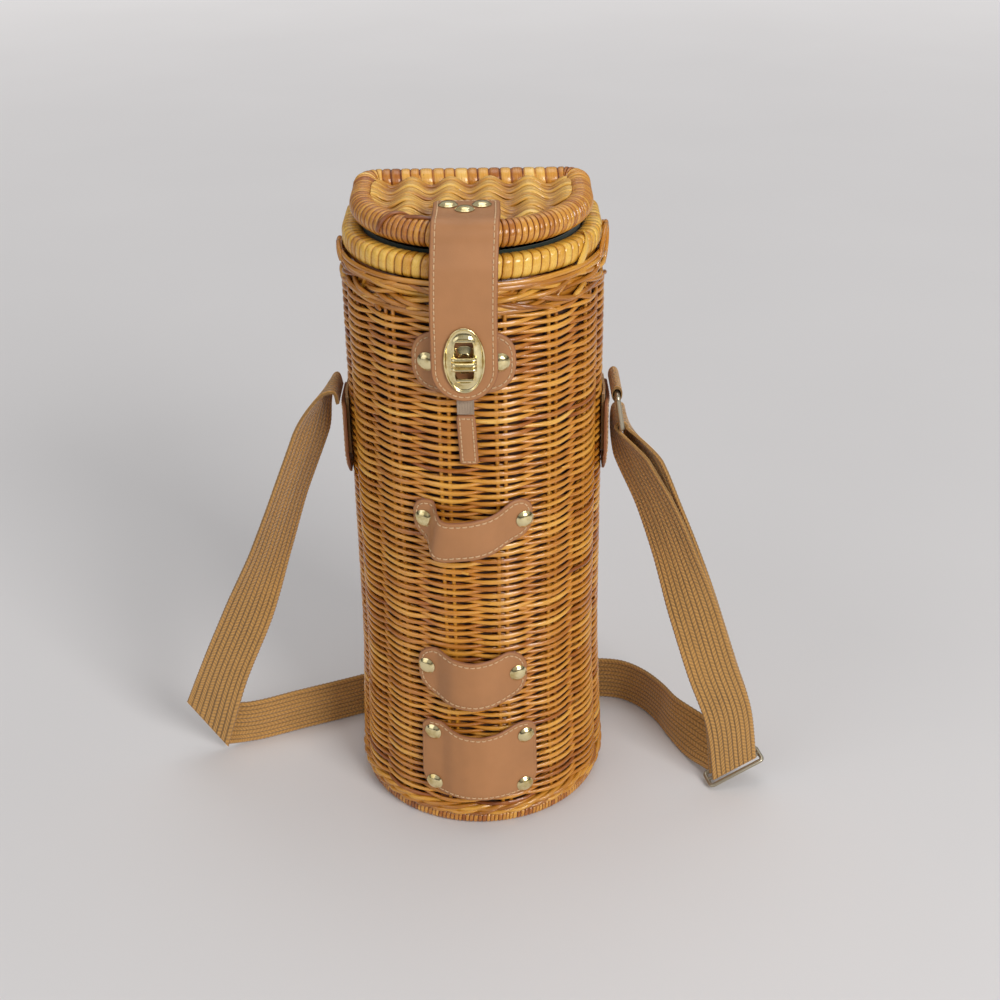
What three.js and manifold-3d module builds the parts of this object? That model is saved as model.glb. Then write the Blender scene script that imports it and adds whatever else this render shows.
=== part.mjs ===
// Wicker wine carrier: a one-bottle basket with a D-shaped section, a hinged lid, leather
// fittings and a webbing shoulder strap. Millimetres, +Z up. The origin is on the underside of
// the base, at the centre of the round front. The front faces -Y and the flat back faces +Y.
import * as THREE from 'three';
import * as BufferGeometryUtils from 'three/addons/utils/BufferGeometryUtils.js';
import Module from 'manifold-3d';

const wasm = await Module();
wasm.setup();

// Driving dimensions of the basket
const halfWidth = 71.5; // outer half width of the wall above the flare
const frontReach = 75; // from the origin to the round front
const backReach = 39; // from the origin to the flat back
const backCorner = 13; // outer radius of the two back corners
const flare = 3.5; // how far the foot of the wall stands out
const flareHeight = 110; // where the flare ends
const wallThickness = 6; // stakes with weavers on both sides
const footHeight = 6.8; // wrapped foot rim and base board
const footWidth = 7;
const footInset = 1.5; // the foot rim stands back from the flared wall
const walingHeight = 6.4; // heavy twined strands above the foot rim
const walingProud = 0.9;
const wallHeight = 304; // fine weave between the waling and the top border
const borderHeight = 17.4; // loose border made of the folded stakes
const borderProud = 1;
const borderWidth = 7.5;
const mouthRimHeight = 12.5; // cane wrapped rim round the mouth
const mouthRimWidth = 11.2;
const mouthRimInset = 1.9;
const liningThickness = 1;
const clearance = 0.3; // between pieces that touch
const overrun = 4; // how far a cutting tool passes the face that it cuts
const stakeSpacing = 31.4; // between pairs of stakes, as near as a whole number of pairs allows
const stakeWidth = 2.2;
const stakePairGap = 3; // space between the two stakes of a pair

// Driving dimensions of the lid
const lidGap = 2.5; // between the mouth rim and the lid roll
const lidRoll = 14; // diameter of the wrapped roll
const lidSideInset = 6.8;
const lidFrontInset = 4.3;
const lidBackInset = 3.2;
const lidCornerExtra = 2;
const lidPanelThickness = 9.5;
const lidPanelDrop = 3.5; // its underside below the middle of the roll
const lidHumpPitch = 21.1; // between the ribs that its canes hump over
const lidHumpShift = -0.75; // from the middle of the lid to the middle of the ribs
const lidHumpHeight = 3.8;
const lidLiningThickness = 1.2;
const lidLiningInset = 6;
const hingeInset = 39.5; // from each side of the wall to the middle of a cane hinge loop
const hingeWidth = 9;
const hingeThickness = 1.3;
const hingeNotchDrop = 5; // room under the mouth rim for the loops

// Driving dimensions of the leather and its fastenings
const leather = 1.8; // thickness of every leather piece
const fittingShift = -4; // the front fittings sit a little to the left
const rivetDiameter = 10;
const rivetDome = 2;
const rivetShank = 2.4;
const rivetTail = 6; // diameter of the clenched end
const rivetTailThickness = 1;
const closureWidth = 34; // closing strap
const closureThickness = 2;
const closureTail = 21.5; // from the middle of the lock down to the round end
const closureRun = 30; // how far the strap lies back over the lid
const closureRivetBack = 20; // the two rear rivets, behind the crest of the roll
const closureRivetFront = 11;
const closureRivetHalf = 9.5;
const lockDrop = 20.3; // from the top of the fine weave down to the middle of the turn lock
const lockLeatherDrop = 2.5; // its leather sits a little lower
const lockLeatherWidth = 56;
const lockLeatherHeight = 33;
const lockRivetHalf = 19;
const lockPlateWidth = 21;
const lockPlateHeight = 35;
const lockPlateThickness = 1.2;
const lockSlotWidth = 9.6;
const lockSlotHeight = 23;
const lockBackWidth = 15;
const lockBackHeight = 28;
const lockBackThickness = 0.7;
const lockPost = 6.4; // diameter of the fixed post
const lockSpindle = 2.6; // diameter of the turning spindle
const turnBarLength = 12.6;
const turnBarHeight = 8;
const turnBarDepth = 4.2;
const tabWidth = 9.7; // small pull tab
const tabLength = 28;
const ribbonWidth = 10.5;
const ribbonLength = 11.1;
const ribbonTuck = 1.4; // how far the ribbon reaches up behind the closing strap
const ribbonThickness = 0.9;
const loopRivetHalf = 26.5;
const upperLoopRivet = 203; // height of its rivets
const upperLoopWidth = 66;
const upperLoopRise = 12; // from the rivets up to the top edge
const upperLoopDepth = 24;
const upperLoopSag = 9; // how far the middle hangs below the ends
const upperLoopBulge = 10; // how far the middle stands off the wall
const lowerLoopRivet = 108;
const lowerLoopWidth = 64;
const lowerLoopRise = 12;
const lowerLoopDepth = 34;
const lowerLoopSag = 1;
const lowerLoopBulge = 7.5;
const loopTopCorner = 8;
const loopBottomCorner = 12;
const pocketWidth = 65;
const pocketBottom = 20;
const pocketHeight = 51.5;
const pocketSag = 2.5;
const pocketBulge = 7;
const pocketRivetInset = 8; // from each edge
const pocketCorner = 6;

// Driving dimensions of the shoulder strap
const strapWidth = 30;
const strapThickness = 2;
const anchorHeight = 250; // line through the two side anchors
const sideLeatherWidth = 36;
const sideLeatherDrop = 3; // from the anchors down to its top
const sideLeatherLength = 47;
const webEndThickness = 1.5;
const webEndLength = 34; // from the anchors down to the sewn end
const strapSpread = 102.5; // from the side of the wall out to the left fold
const strapBehind = 10.5; // from the foot of the back wall to the strap behind it
const floorGap = 0.5; // the strap's lower edge above the floor
const loopTubeDepth = 6.2; // webbing loop that holds the ring
const loopTubeHeight = 9.5;
const ringWire = 3.2;
const ringWidth = 38;
const ringDrop = 21;
const ringLean = 3.2;
const sliderLength = 38;
const sliderWidth = 14;
const sliderThickness = 2.4;
const sliderBar = 2.6;
const sliderOutShare = 0.797; // where the slider lies, as shares of the strap's reach,
const sliderDepthShare = -0.735; // depth and
const sliderHeightShare = 0.667; // half width
const sliderAlongShares = [0.88, 0.19, 0.41]; // direction of its long side
const sliderUpShares = [-0.376, -0.19, 0.896]; // direction of its upper face

// How finely round stretches are faceted
const frontSteps = 22;
const cornerSteps = 3;
const sideSteps = 1;
const backSteps = 1;
const roundSteps = 10;

// Heights that follow from the sizes above
const walingBottom = footHeight + clearance;
const wallBottom = walingBottom + walingHeight + clearance;
const wallTop = wallBottom + wallHeight;
const borderBottom = wallTop + clearance;
const borderTop = borderBottom + borderHeight;
const mouthBottom = borderTop + clearance;
const mouthTop = mouthBottom + mouthRimHeight;
const lidBottom = mouthTop + lidGap;
const lidTop = lidBottom + lidRoll;
const rollRadius = lidRoll / 2;
const rollHeight = lidBottom + rollRadius;
const mouthMiddle = mouthBottom + mouthRimHeight / 2;
const lockHeight = wallTop - lockDrop;
const closureBottom = lockHeight - closureTail;
const ribbonTop = closureBottom + ribbonTuck;
const tabTop = ribbonTop - ribbonLength - clearance;
const tabBottom = tabTop - tabLength;
const sideLeatherTop = anchorHeight - sideLeatherDrop;
const sideLeatherBottom = sideLeatherTop - sideLeatherLength;
const webEndBottom = anchorHeight - webEndLength;
const hingeSpacing = 2 * (halfWidth - hingeInset);
const mouthInner = -mouthRimInset - mouthRimWidth;

const wallSize = { half: halfWidth, front: frontReach, back: backReach, corner: backCorner };
const lidSize = {
  half: halfWidth - lidSideInset,
  front: frontReach - lidFrontInset,
  back: backReach - lidBackInset,
  corner: backCorner + lidCornerExtra,
};

// Colours as they look in the photograph
const cane = { color: 0xc98a3c, roughness: 0.45, metalness: 0 };
const paleCane = { color: 0xd9a34f, roughness: 0.4, metalness: 0 };
const darkCane = { color: 0xa5692b, roughness: 0.5, metalness: 0 };
const tan = { color: 0xb0795a, roughness: 0.6, metalness: 0 };
const khaki = { color: 0x9c7a4b, roughness: 0.9, metalness: 0 };
const green = { color: 0x1e2a20, roughness: 0.95, metalness: 0 };
const grey = { color: 0x8a8078, roughness: 0.8, metalness: 0 };
const brass = { color: 0xd8c48c, roughness: 0.25, metalness: 1 };
const agedBrass = { color: 0x6e6248, roughness: 0.4, metalness: 1 };
const board = { color: 0xb98a52, roughness: 0.7, metalness: 0 };

const basket = new THREE.Group();

// Adds one named piece to the basket.
function piece(name, geometry, finish) {
  const mesh = new THREE.Mesh(geometry, new THREE.MeshStandardMaterial(finish));
  mesh.name = name;
  basket.add(mesh);
  return mesh;
}

// Turns lists of points and faces into a geometry.
function toGeometry(points, faces) {
  const geometry = new THREE.BufferGeometry();
  geometry.setAttribute('position', new THREE.Float32BufferAttribute(points.flat(), 3));
  geometry.setIndex(faces.flat());
  return geometry;
}

function toSolid(geometry) {
  const bare = geometry.clone();
  bare.deleteAttribute('normal');
  bare.deleteAttribute('uv');
  const merged = BufferGeometryUtils.mergeVertices(bare);
  const vertProperties = new Float32Array(merged.attributes.position.array);
  const triVerts = new Uint32Array(merged.index.array);
  return new wasm.Manifold(new wasm.Mesh({ numProp: 3, vertProperties, triVerts }));
}

function fromSolid(solid) {
  const { vertProperties, triVerts } = solid.getMesh();
  const geometry = new THREE.BufferGeometry();
  geometry.setAttribute('position', new THREE.BufferAttribute(vertProperties, 3));
  geometry.setIndex(new THREE.BufferAttribute(triVerts, 1));
  return geometry;
}

function cut(geometry, tools) {
  return fromSolid(tools.reduce((solid, tool) => solid.subtract(toSolid(tool)), toSolid(geometry)));
}

function join(geometries) {
  return fromSolid(geometries.map(toSolid).reduce((sum, solid) => sum.add(solid)));
}

// How far the wall stands out at a height, beyond its straight part.
function growth(z) {
  if (z >= flareHeight) return 0;
  return (flare * (1 + Math.cos((Math.PI * Math.max(z, 0)) / flareHeight))) / 2;
}

// A D-shaped outline, grown outwards by an amount: round front, straight sides, rounded corners
// and flat back. It runs anticlockwise from the left side round the front.
function outline(size, grow) {
  const half = size.half + grow;
  const front = size.front + grow;
  const back = size.back + grow;
  const corner = Math.max(size.corner + grow, clearance);
  const points = [];
  for (let i = 0; i < frontSteps; i += 1) {
    const angle = Math.PI + (Math.PI * i) / frontSteps;
    points.push([half * Math.cos(angle), front * Math.sin(angle)]);
  }
  for (let i = 0; i < sideSteps; i += 1) points.push([half, ((back - corner) * i) / sideSteps]);
  for (let i = 0; i < cornerSteps; i += 1) {
    const angle = (Math.PI * i) / (2 * cornerSteps);
    points.push([half - corner + corner * Math.cos(angle), back - corner + corner * Math.sin(angle)]);
  }
  for (let i = 0; i < backSteps; i += 1) {
    points.push([(half - corner) * (1 - (2 * i) / backSteps), back]);
  }
  for (let i = 0; i < cornerSteps; i += 1) {
    const angle = Math.PI / 2 + (Math.PI * i) / (2 * cornerSteps);
    points.push([corner - half + corner * Math.cos(angle), back - corner + corner * Math.sin(angle)]);
  }
  for (let i = 0; i < sideSteps; i += 1) {
    points.push([-half, (back - corner) * (1 - i / sideSteps)]);
  }
  return points;
}

// Sweeps a closed section, given as [growth, height] pairs, once round a D-shaped outline.
// The section runs anticlockwise with growth to the right and height up.
function ring(size, section) {
  const loops = section.map(([grow, z]) => outline(size, grow).map(([x, y]) => [x, y, z]));
  const around = loops[0].length;
  const faces = [];
  section.forEach((_, k) => {
    const next = (k + 1) % section.length;
    for (let i = 0; i < around; i += 1) {
      const j = (i + 1) % around;
      const low = k * around;
      const high = next * around;
      faces.push([low + i, low + j, high + j], [low + i, high + j, high + i]);
    }
  });
  return toGeometry(loops.flat(), faces);
}

// A solid between D-shaped outlines at rising levels, given as [growth, height] pairs from the
// bottom up, closed by a flat face at both ends.
function plate(size, levels) {
  const loops = levels.map(([grow, z]) => outline(size, grow).map(([x, y]) => [x, y, z]));
  const around = loops[0].length;
  const points = loops.flat();
  const faces = [];
  for (let k = 0; k + 1 < levels.length; k += 1) {
    for (let i = 0; i < around; i += 1) {
      const j = (i + 1) % around;
      const low = k * around;
      const high = low + around;
      faces.push([low + i, low + j, high + j], [low + i, high + j, high + i]);
    }
  }
  const centreY = (size.back - size.front) / 2;
  const last = (levels.length - 1) * around;
  points.push([0, centreY, levels[0][1]], [0, centreY, levels[levels.length - 1][1]]);
  for (let i = 0; i < around; i += 1) {
    const j = (i + 1) % around;
    faces.push([j, i, points.length - 2], [last + i, last + j, points.length - 1]);
  }
  return toGeometry(points, faces);
}

// An oval section for a rim, as [growth, height] pairs.
function oval(outerGrow, bottom, width, height) {
  const section = [];
  for (let i = 0; i < roundSteps; i += 1) {
    const angle = (2 * Math.PI * i) / roundSteps;
    const grow = outerGrow - width / 2 + (width / 2) * Math.cos(angle);
    section.push([grow, bottom + height / 2 + (height / 2) * Math.sin(angle)]);
  }
  return section;
}

// A point on the round front: a distance round the wall from the front centre, a height, and
// how far it stands off the wall.
function frontPoint(around, z, off) {
  const angle = around / halfWidth;
  const grow = growth(z) + off;
  return [(halfWidth + grow) * Math.sin(angle), -(frontReach + grow) * Math.cos(angle), z];
}

// A point on a side wall: a distance behind the side's middle, a height, and a stand-off.
function sidePoint(side, y, z, off) {
  const grow = growth(z) + off;
  const round = y < 0 ? Math.sqrt(1 - (y / (frontReach + grow)) ** 2) : 1;
  return [side * (halfWidth + grow) * round, y, z];
}

// A bent slab: place(u, v, depth) gives a point for two shares and a depth of 0 or 1.
function slab(columns, rows, place) {
  const points = [];
  const index = (i, j, side) => (side * (columns + 1) + i) * (rows + 1) + j;
  for (let side = 0; side < 2; side += 1) {
    for (let i = 0; i <= columns; i += 1) {
      for (let j = 0; j <= rows; j += 1) points.push(place(i / columns, j / rows, side));
    }
  }
  const faces = [];
  const quad = (a, b, c, d) => faces.push([a, b, c], [a, c, d]);
  for (let i = 0; i < columns; i += 1) {
    for (let j = 0; j < rows; j += 1) {
      quad(index(i, j, 1), index(i + 1, j, 1), index(i + 1, j + 1, 1), index(i, j + 1, 1));
      quad(index(i, j, 0), index(i, j + 1, 0), index(i + 1, j + 1, 0), index(i + 1, j, 0));
    }
    quad(index(i, 0, 0), index(i + 1, 0, 0), index(i + 1, 0, 1), index(i, 0, 1));
    quad(index(i, rows, 1), index(i + 1, rows, 1), index(i + 1, rows, 0), index(i, rows, 0));
  }
  for (let j = 0; j < rows; j += 1) {
    quad(index(0, j, 0), index(0, j, 1), index(0, j + 1, 1), index(0, j + 1, 0));
    quad(index(columns, j, 1), index(columns, j, 0), index(columns, j + 1, 0), index(columns, j + 1, 1));
  }
  return toGeometry(points, faces);
}

// A leather panel on the round front. low, high and off give its edges and its stand-off for a
// place from -1 at the left end to 1 at the right end.
function frontPanel({ centre, width, thickness, columns, rows, low, high, off }) {
  return slab(columns, rows, (u, v, depth) => {
    const place = 2 * u - 1;
    const z = low(place) + (high(place) - low(place)) * v;
    const around = centre + (place * width) / 2;
    return frontPoint(around, z, clearance + off(place, v) + depth * thickness);
  });
}

// A round profile turned about an axis that starts at a point and runs along a direction.
function turned(profile, start, direction, steps = roundSteps) {
  const geometry = new THREE.LatheGeometry(profile.map(([r, h]) => new THREE.Vector2(r, h)), steps);
  const turn = new THREE.Quaternion().setFromUnitVectors(
    new THREE.Vector3(0, 1, 0),
    new THREE.Vector3(...direction).normalize(),
  );
  geometry.applyQuaternion(turn);
  geometry.translate(...start);
  const bare = geometry.clone();
  bare.deleteAttribute('normal');
  bare.deleteAttribute('uv');
  return BufferGeometryUtils.mergeVertices(bare);
}

// A domed rivet whose cap sits on the leather and whose tail is clenched behind the layers that
// it holds. start is the point under the cap, and grip the depth of the layers.
function rivetProfile(grip, extra) {
  const cap = rivetDiameter / 2;
  const tail = rivetTail / 2 + extra;
  const shank = rivetShank / 2 + extra;
  const head = extra ? [[shank, overrun], [0, overrun]] : [
    [cap, 0], [cap * capWaistShare, rivetDome * capWaistHeightShare], [0, rivetDome],
  ];
  return [
    [0, -grip - rivetTailThickness - extra], [tail, -grip - rivetTailThickness - extra],
    [tail, -grip + extra], [shank, -grip + extra],
    ...(extra ? [] : [[shank, 0]]), ...head,
  ];
}
const capWaistShare = 0.72;
const capWaistHeightShare = 0.72;

// The outward direction of the round front at a distance round the wall.
function frontNormal(around) {
  const angle = around / halfWidth;
  return [Math.sin(angle) * frontReach, -Math.cos(angle) * halfWidth, 0];
}

const capSeat = clearance + leather + clearance;
const wallGrip = capSeat + wallThickness - rivetTailThickness - clearance;
const wallHoles = [];

// Sets a rivet through a leather panel and the wall, and returns the tool for its hole.
function wallRivet(name, around, z) {
  const start = frontPoint(around, z, capSeat);
  const direction = frontNormal(around);
  piece(name, turned(rivetProfile(wallGrip, 0), start, direction), brass);
  const hole = turned(rivetProfile(wallGrip, clearance), start, direction);
  wallHoles.push(hole);
  return hole;
}

// Base board and foot rim
const footOuter = growth(0) - footInset;
const footInner = footOuter - footWidth;
const boardEdge = footInner - clearance;
piece('base_board', plate(wallSize, [[boardEdge, 0], [boardEdge, footHeight]]), board);
const footRoundShare = 0.3;
const footRound = footWidth * footRoundShare;
piece('foot_rim', ring(wallSize, [
  [footInner, 0], [footOuter - footRound, 0], [footOuter, footRound],
  [footOuter, footHeight - footRound], [footOuter - footRound, footHeight], [footInner, footHeight],
]), cane);

// Waling band under the fine weave
const walingGrow = growth(walingBottom);
const walingOuter = walingGrow + walingProud;
piece('bottom_waling', ring(wallSize, [
  [walingGrow - wallThickness, walingBottom], [walingGrow, walingBottom],
  [walingOuter, walingBottom + walingHeight / 2], [walingGrow, walingBottom + walingHeight],
  [walingGrow - wallThickness, walingBottom + walingHeight],
]), darkCane);

// Leather fittings on the front, whose rivets go through the wall
const wingEndShare = 0.56; // height of the lock leather at its ends
const wing = (place) => wingEndShare + (1 - wingEndShare) * Math.cos((place * Math.PI) / 2) ** 2;
const rivetReachShare = 0.75; // the leather lies flat this far from a rivet, in cap diameters
const flatFrom = (half, width) => (2 * (half - rivetDiameter * rivetReachShare)) / width;

// How far a loop or pocket stands off between its rivets, from 0 at a rivet to 1 in the middle.
function bow(place, rivetShare) {
  if (Math.abs(place) >= rivetShare) return 0;
  return (1 - (place / rivetShare) ** 2) ** (3 / 2);
}

// How far a rounded corner draws an edge in, at a place near the end of a panel.
function cornerDraw(place, width, radius) {
  const past = (Math.abs(place) - 1) * (width / 2) + radius;
  return past > 0 ? radius - Math.sqrt(radius ** 2 - past ** 2) : 0;
}

const lockLeatherMiddle = lockHeight - lockLeatherDrop;
const lockHoles = [
  wallRivet('lock_rivet_left', fittingShift - lockRivetHalf, lockLeatherMiddle),
  wallRivet('lock_rivet_right', fittingShift + lockRivetHalf, lockLeatherMiddle),
];
piece('lock_leather', cut(frontPanel({
  centre: fittingShift,
  width: lockLeatherWidth,
  thickness: leather,
  columns: 12,
  rows: 1,
  low: (place) => lockLeatherMiddle - (lockLeatherHeight / 2) * wing(place),
  high: (place) => lockLeatherMiddle + (lockLeatherHeight / 2) * wing(place),
  off: () => 0,
}), lockHoles), tan);

// A sagging panel that stands off the wall between its rivets.
function sling(name, { top, height, width, sag, bulge, topCorner, bottomCorner, rivetHalf, holes }) {
  const flat = flatFrom(rivetHalf, width);
  piece(name, cut(frontPanel({
    centre: fittingShift,
    width,
    thickness: leather,
    columns: 14,
    rows: 2,
    low: (place) => top - height - sag * bow(place, 1) + cornerDraw(place, width, bottomCorner),
    high: (place) => top - sag * bow(place, 1) - cornerDraw(place, width, topCorner),
    off: (place) => bulge * bow(place, flat),
  }), holes), tan);
}

// Sets one tool loop with a rivet at each end.
function toolLoop(name, { rivetHeight, rise, ...sizes }) {
  const holes = [-1, 1].map((side) => {
    const label = side < 0 ? 'left' : 'right';
    return wallRivet(`${name}_rivet_${label}`, fittingShift + side * loopRivetHalf, rivetHeight);
  });
  sling(name, {
    top: rivetHeight + rise,
    topCorner: loopTopCorner,
    bottomCorner: loopBottomCorner,
    rivetHalf: loopRivetHalf,
    holes,
    ...sizes,
  });
}
toolLoop('upper_tool_loop', {
  rivetHeight: upperLoopRivet,
  rise: upperLoopRise,
  height: upperLoopDepth,
  width: upperLoopWidth,
  sag: upperLoopSag,
  bulge: upperLoopBulge,
});
toolLoop('lower_tool_loop', {
  rivetHeight: lowerLoopRivet,
  rise: lowerLoopRise,
  height: lowerLoopDepth,
  width: lowerLoopWidth,
  sag: lowerLoopSag,
  bulge: lowerLoopBulge,
});

// Tool pocket, held by a rivet at each corner
const pocketRivetHalf = pocketWidth / 2 - pocketRivetInset;
const pocketTop = pocketBottom + pocketHeight;
const pocketHoles = [];
[['lower', pocketBottom + pocketRivetInset], ['upper', pocketTop - pocketRivetInset]]
  .forEach(([level, z]) => [-1, 1].forEach((side) => {
    const label = `${level}_${side < 0 ? 'left' : 'right'}`;
    pocketHoles.push(wallRivet(`pocket_rivet_${label}`, fittingShift + side * pocketRivetHalf, z));
  }));
sling('tool_pocket', {
  top: pocketTop,
  height: pocketHeight,
  width: pocketWidth,
  sag: pocketSag,
  bulge: pocketBulge,
  topCorner: pocketCorner,
  bottomCorner: pocketCorner,
  rivetHalf: pocketRivetHalf,
  holes: pocketHoles,
});

// Stakes: pairs that stand in the wall, folded over at the top into the border
const stakeMiddle = -wallThickness / 2;
const stakeLevels = 3;
const perimeter = outline(wallSize, 0).reduce((sum, point, i, all) => {
  const next = all[(i + 1) % all.length];
  return sum + Math.hypot(next[0] - point[0], next[1] - point[1]);
}, 0);

// A point on the wall's outline at a distance from the front centre, for any side.
function wallPoint(distance, z, off) {
  const points = outline(wallSize, growth(z) + off);
  const reference = outline(wallSize, 0);
  const middle = frontSteps / 2;
  let rest = ((distance % perimeter) + perimeter) % perimeter;
  for (let i = 0; i < reference.length; i += 1) {
    const a = (middle + i) % reference.length;
    const b = (a + 1) % reference.length;
    const span = Math.hypot(reference[b][0] - reference[a][0], reference[b][1] - reference[a][1]);
    if (rest <= span) {
      const share = rest / span;
      const x = points[a][0] + (points[b][0] - points[a][0]) * share;
      const y = points[a][1] + (points[b][1] - points[a][1]) * share;
      return [x, y, z];
    }
    rest -= span;
  }
  return [points[middle][0], points[middle][1], z];
}

// The distance from the front centre to the place on the right front with this x.
function outlineDistance(x) {
  const points = outline(wallSize, 0);
  let total = 0;
  let i = frontSteps / 2;
  for (; points[i + 1][0] < x; i += 1) {
    total += Math.hypot(points[i + 1][0] - points[i][0], points[i + 1][1] - points[i][1]);
  }
  const share = (x - points[i][0]) / (points[i + 1][0] - points[i][0]);
  const last = Math.hypot(points[i + 1][0] - points[i][0], points[i + 1][1] - points[i][1]);
  return total + share * last;
}

// A bar that stands in the wall, bent like it, with its width, its depth, its top, how far
// it runs below the weave, and the steps across its width.
function upright(distance, width, depth, top, below, columns) {
  return slab(columns, stakeLevels, (u, v, side) => {
    const bent = wallBottom + ((flareHeight - wallBottom) * v * stakeLevels) / (stakeLevels - 1);
    const standing = v > 0 ? bent : wallBottom - below;
    const z = v < 1 ? standing : top;
    return wallPoint(distance + (u - 1 / 2) * width, z, stakeMiddle + (side - 1 / 2) * depth);
  });
}

// One pair of stakes stands astride the right lock rivet.
const stakeShift = outlineDistance(frontPoint(fittingShift + lockRivetHalf, wallTop, 0)[0]);
const stakeApart = (stakePairGap + stakeWidth) / 2;
const stakeCount = Math.round(perimeter / stakeSpacing);
const pairPlaces = [];
for (let i = 0; i < stakeCount; i += 1) pairPlaces.push(stakeShift + (i * perimeter) / stakeCount);
const stakePlaces = pairPlaces.flatMap((place) => [place - stakeApart, place + stakeApart]);
const wallLevels = 5;
const wallSide = [];
for (let i = 0; i < wallLevels; i += 1) {
  const z = wallBottom + ((flareHeight - wallBottom) * i) / (wallLevels - 1);
  wallSide.push([growth(z), z]);
}
wallSide.push([0, wallTop]);
const wallBack = wallSide.map(([grow, z]) => [grow - wallThickness, z]).reverse();
const channelWidth = 2 * stakeApart + stakeWidth + 2 * clearance;
const channelDepth = stakeWidth + 2 * clearance;
const channelColumns = 4;
const channels = pairPlaces.map((place) => (
  upright(place, channelWidth, channelDepth, wallTop + overrun, overrun, channelColumns)));
piece('basket_wall', cut(ring(wallSize, [...wallSide, ...wallBack]), [...channels, ...wallHoles]), cane);

// Hinge line: the rear stretch of the mouth rim
const hingeY = backReach - mouthRimInset - mouthRimWidth / 2;
const rollY = lidSize.back - rollRadius;
const notchBottom = mouthBottom - hingeNotchDrop;
const notchFront = hingeY - mouthRimWidth;
const notches = [-1, 1].map((side) => {
  const high = mouthTop + overrun - notchBottom;
  const deep = backReach + overrun - notchFront;
  const box = new THREE.BoxGeometry(hingeWidth + 2 * clearance, deep, high);
  return box.translate((side * hingeSpacing) / 2, notchFront + deep / 2, notchBottom + high / 2);
});

const borderWaistShare = 0.5;
const border = ring(wallSize, [
  [borderProud - borderWidth, borderBottom], [0, borderBottom],
  [borderProud, borderBottom + borderHeight * borderWaistShare],
  [0, borderTop], [borderProud - borderWidth, borderTop],
]);
const stakes = stakePlaces.map((place) => (
  upright(place, stakeWidth, stakeWidth, borderTop - clearance, 0, 1)));
piece('stakes_and_top_border', cut(join([border, ...stakes]), notches), darkCane);

// Mouth rim and lining
const mouthSection = oval(-mouthRimInset, mouthBottom, mouthRimWidth, mouthRimHeight);
piece('mouth_rim', ring(wallSize, mouthSection), paleCane);
const liningOff = -wallThickness - clearance;
const liningEdge = mouthInner - clearance;
const liningSide = wallSide.map(([grow, z]) => [grow + liningOff, z]);
const liningBend = borderBottom + borderHeight / 2;
const liningOuter = [
  [walingGrow + liningOff, walingBottom], ...liningSide.slice(1, -1),
  [Math.min(liningOff, borderProud - borderWidth - clearance), liningBend],
  [liningEdge, mouthBottom - clearance], [liningEdge, mouthTop + clearance],
];
const liningInner = liningOuter.map(([grow, z], i) => (
  [grow - liningThickness, i ? z : z + liningThickness]));
liningInner[liningInner.length - 1][1] += overrun;
piece('basket_lining', cut(plate(wallSize, liningOuter), [plate(wallSize, liningInner), ...notches]), green);

// Lid
const lidInner = -lidRoll - clearance;
const panelBottom = rollHeight - lidPanelDrop;
const hingeReach = hingeThickness + 2 * clearance;
const lidNotches = [-1, 1].map((side) => {
  const box = new THREE.BoxGeometry(hingeWidth + 2 * clearance, 2 * (hingeReach + clearance), lidRoll);
  return box.translate((side * hingeSpacing) / 2, rollY - rollRadius, rollHeight);
});
const rollSection = oval(0, lidBottom, lidRoll, lidRoll);
piece('lid_rim', ring(lidSize, rollSection), cane);

const crestY = rollRadius - lidSize.front;
const lidRivetPlaces = [
  ['left', fittingShift - closureRivetHalf, crestY + closureRivetBack],
  ['right', fittingShift + closureRivetHalf, crestY + closureRivetBack],
  ['front', fittingShift, crestY + closureRivetFront],
];
const panelTop = panelBottom + lidPanelThickness;
const leatherOnLid = lidTop + clearance + closureThickness / 2;
const lidCapSeat = leatherOnLid + closureThickness / 2 + clearance;
const lidGrip = lidCapSeat - panelBottom - rivetTailThickness - clearance;
const lidHoles = lidRivetPlaces.map(([label, x, y]) => {
  const start = [x, y, lidCapSeat];
  piece(`closure_rivet_${label}`, turned(rivetProfile(lidGrip, 0), start, [0, 0, 1]), brass);
  return turned(rivetProfile(lidGrip, clearance), start, [0, 0, 1]);
});
const panelLevels = [[lidInner, panelBottom], [lidInner, panelTop]];

// The hollows between the humps of the lid's weave, which run from front to back
const humpSteps = 8;
const hollowReach = lidSize.half;
const hollowShape = new THREE.Shape();
hollowShape.moveTo(-hollowReach, panelTop + overrun);
for (let i = -hollowReach; i < hollowReach + lidHumpPitch / humpSteps; i += lidHumpPitch / humpSteps) {
  const swing = Math.cos((2 * Math.PI * (i - lidHumpShift - lidHumpPitch / 2)) / lidHumpPitch);
  hollowShape.lineTo(i, panelTop - (lidHumpHeight * (1 - swing)) / 2);
}
hollowShape.lineTo(hollowReach + lidHumpPitch / humpSteps, panelTop + overrun);
hollowShape.closePath();
const hollowDepth = lidSize.front + lidSize.back;
const hollow = new THREE.ExtrudeGeometry(hollowShape, { depth: hollowDepth, bevelEnabled: false });
hollow.rotateX(Math.PI / 2).translate(0, lidSize.back, 0);
piece('lid_panel', cut(plate(lidSize, panelLevels), [...lidNotches, ...lidHoles, hollow]), cane);
const lidLiningTop = panelBottom - clearance;
const lidLiningEdge = lidInner - lidLiningInset;
piece('lid_lining', plate(lidSize, [
  [lidLiningEdge, lidLiningTop - lidLiningThickness], [lidLiningEdge, lidLiningTop],
]), green);

// A closed band in a plane across X, round the lid roll and the mouth rim.
function bandOutline(extra) {
  const low = mouthRimHeight / 2 + clearance + extra;
  const high = rollRadius + clearance + extra;
  const shape = new THREE.Path();
  shape.absarc(hingeY, mouthMiddle, low, Math.PI, 2 * Math.PI, false);
  shape.absarc(rollY, rollHeight, high, 0, Math.PI, false);
  shape.closePath();
  return shape.getPoints(roundSteps / 2);
}

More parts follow.
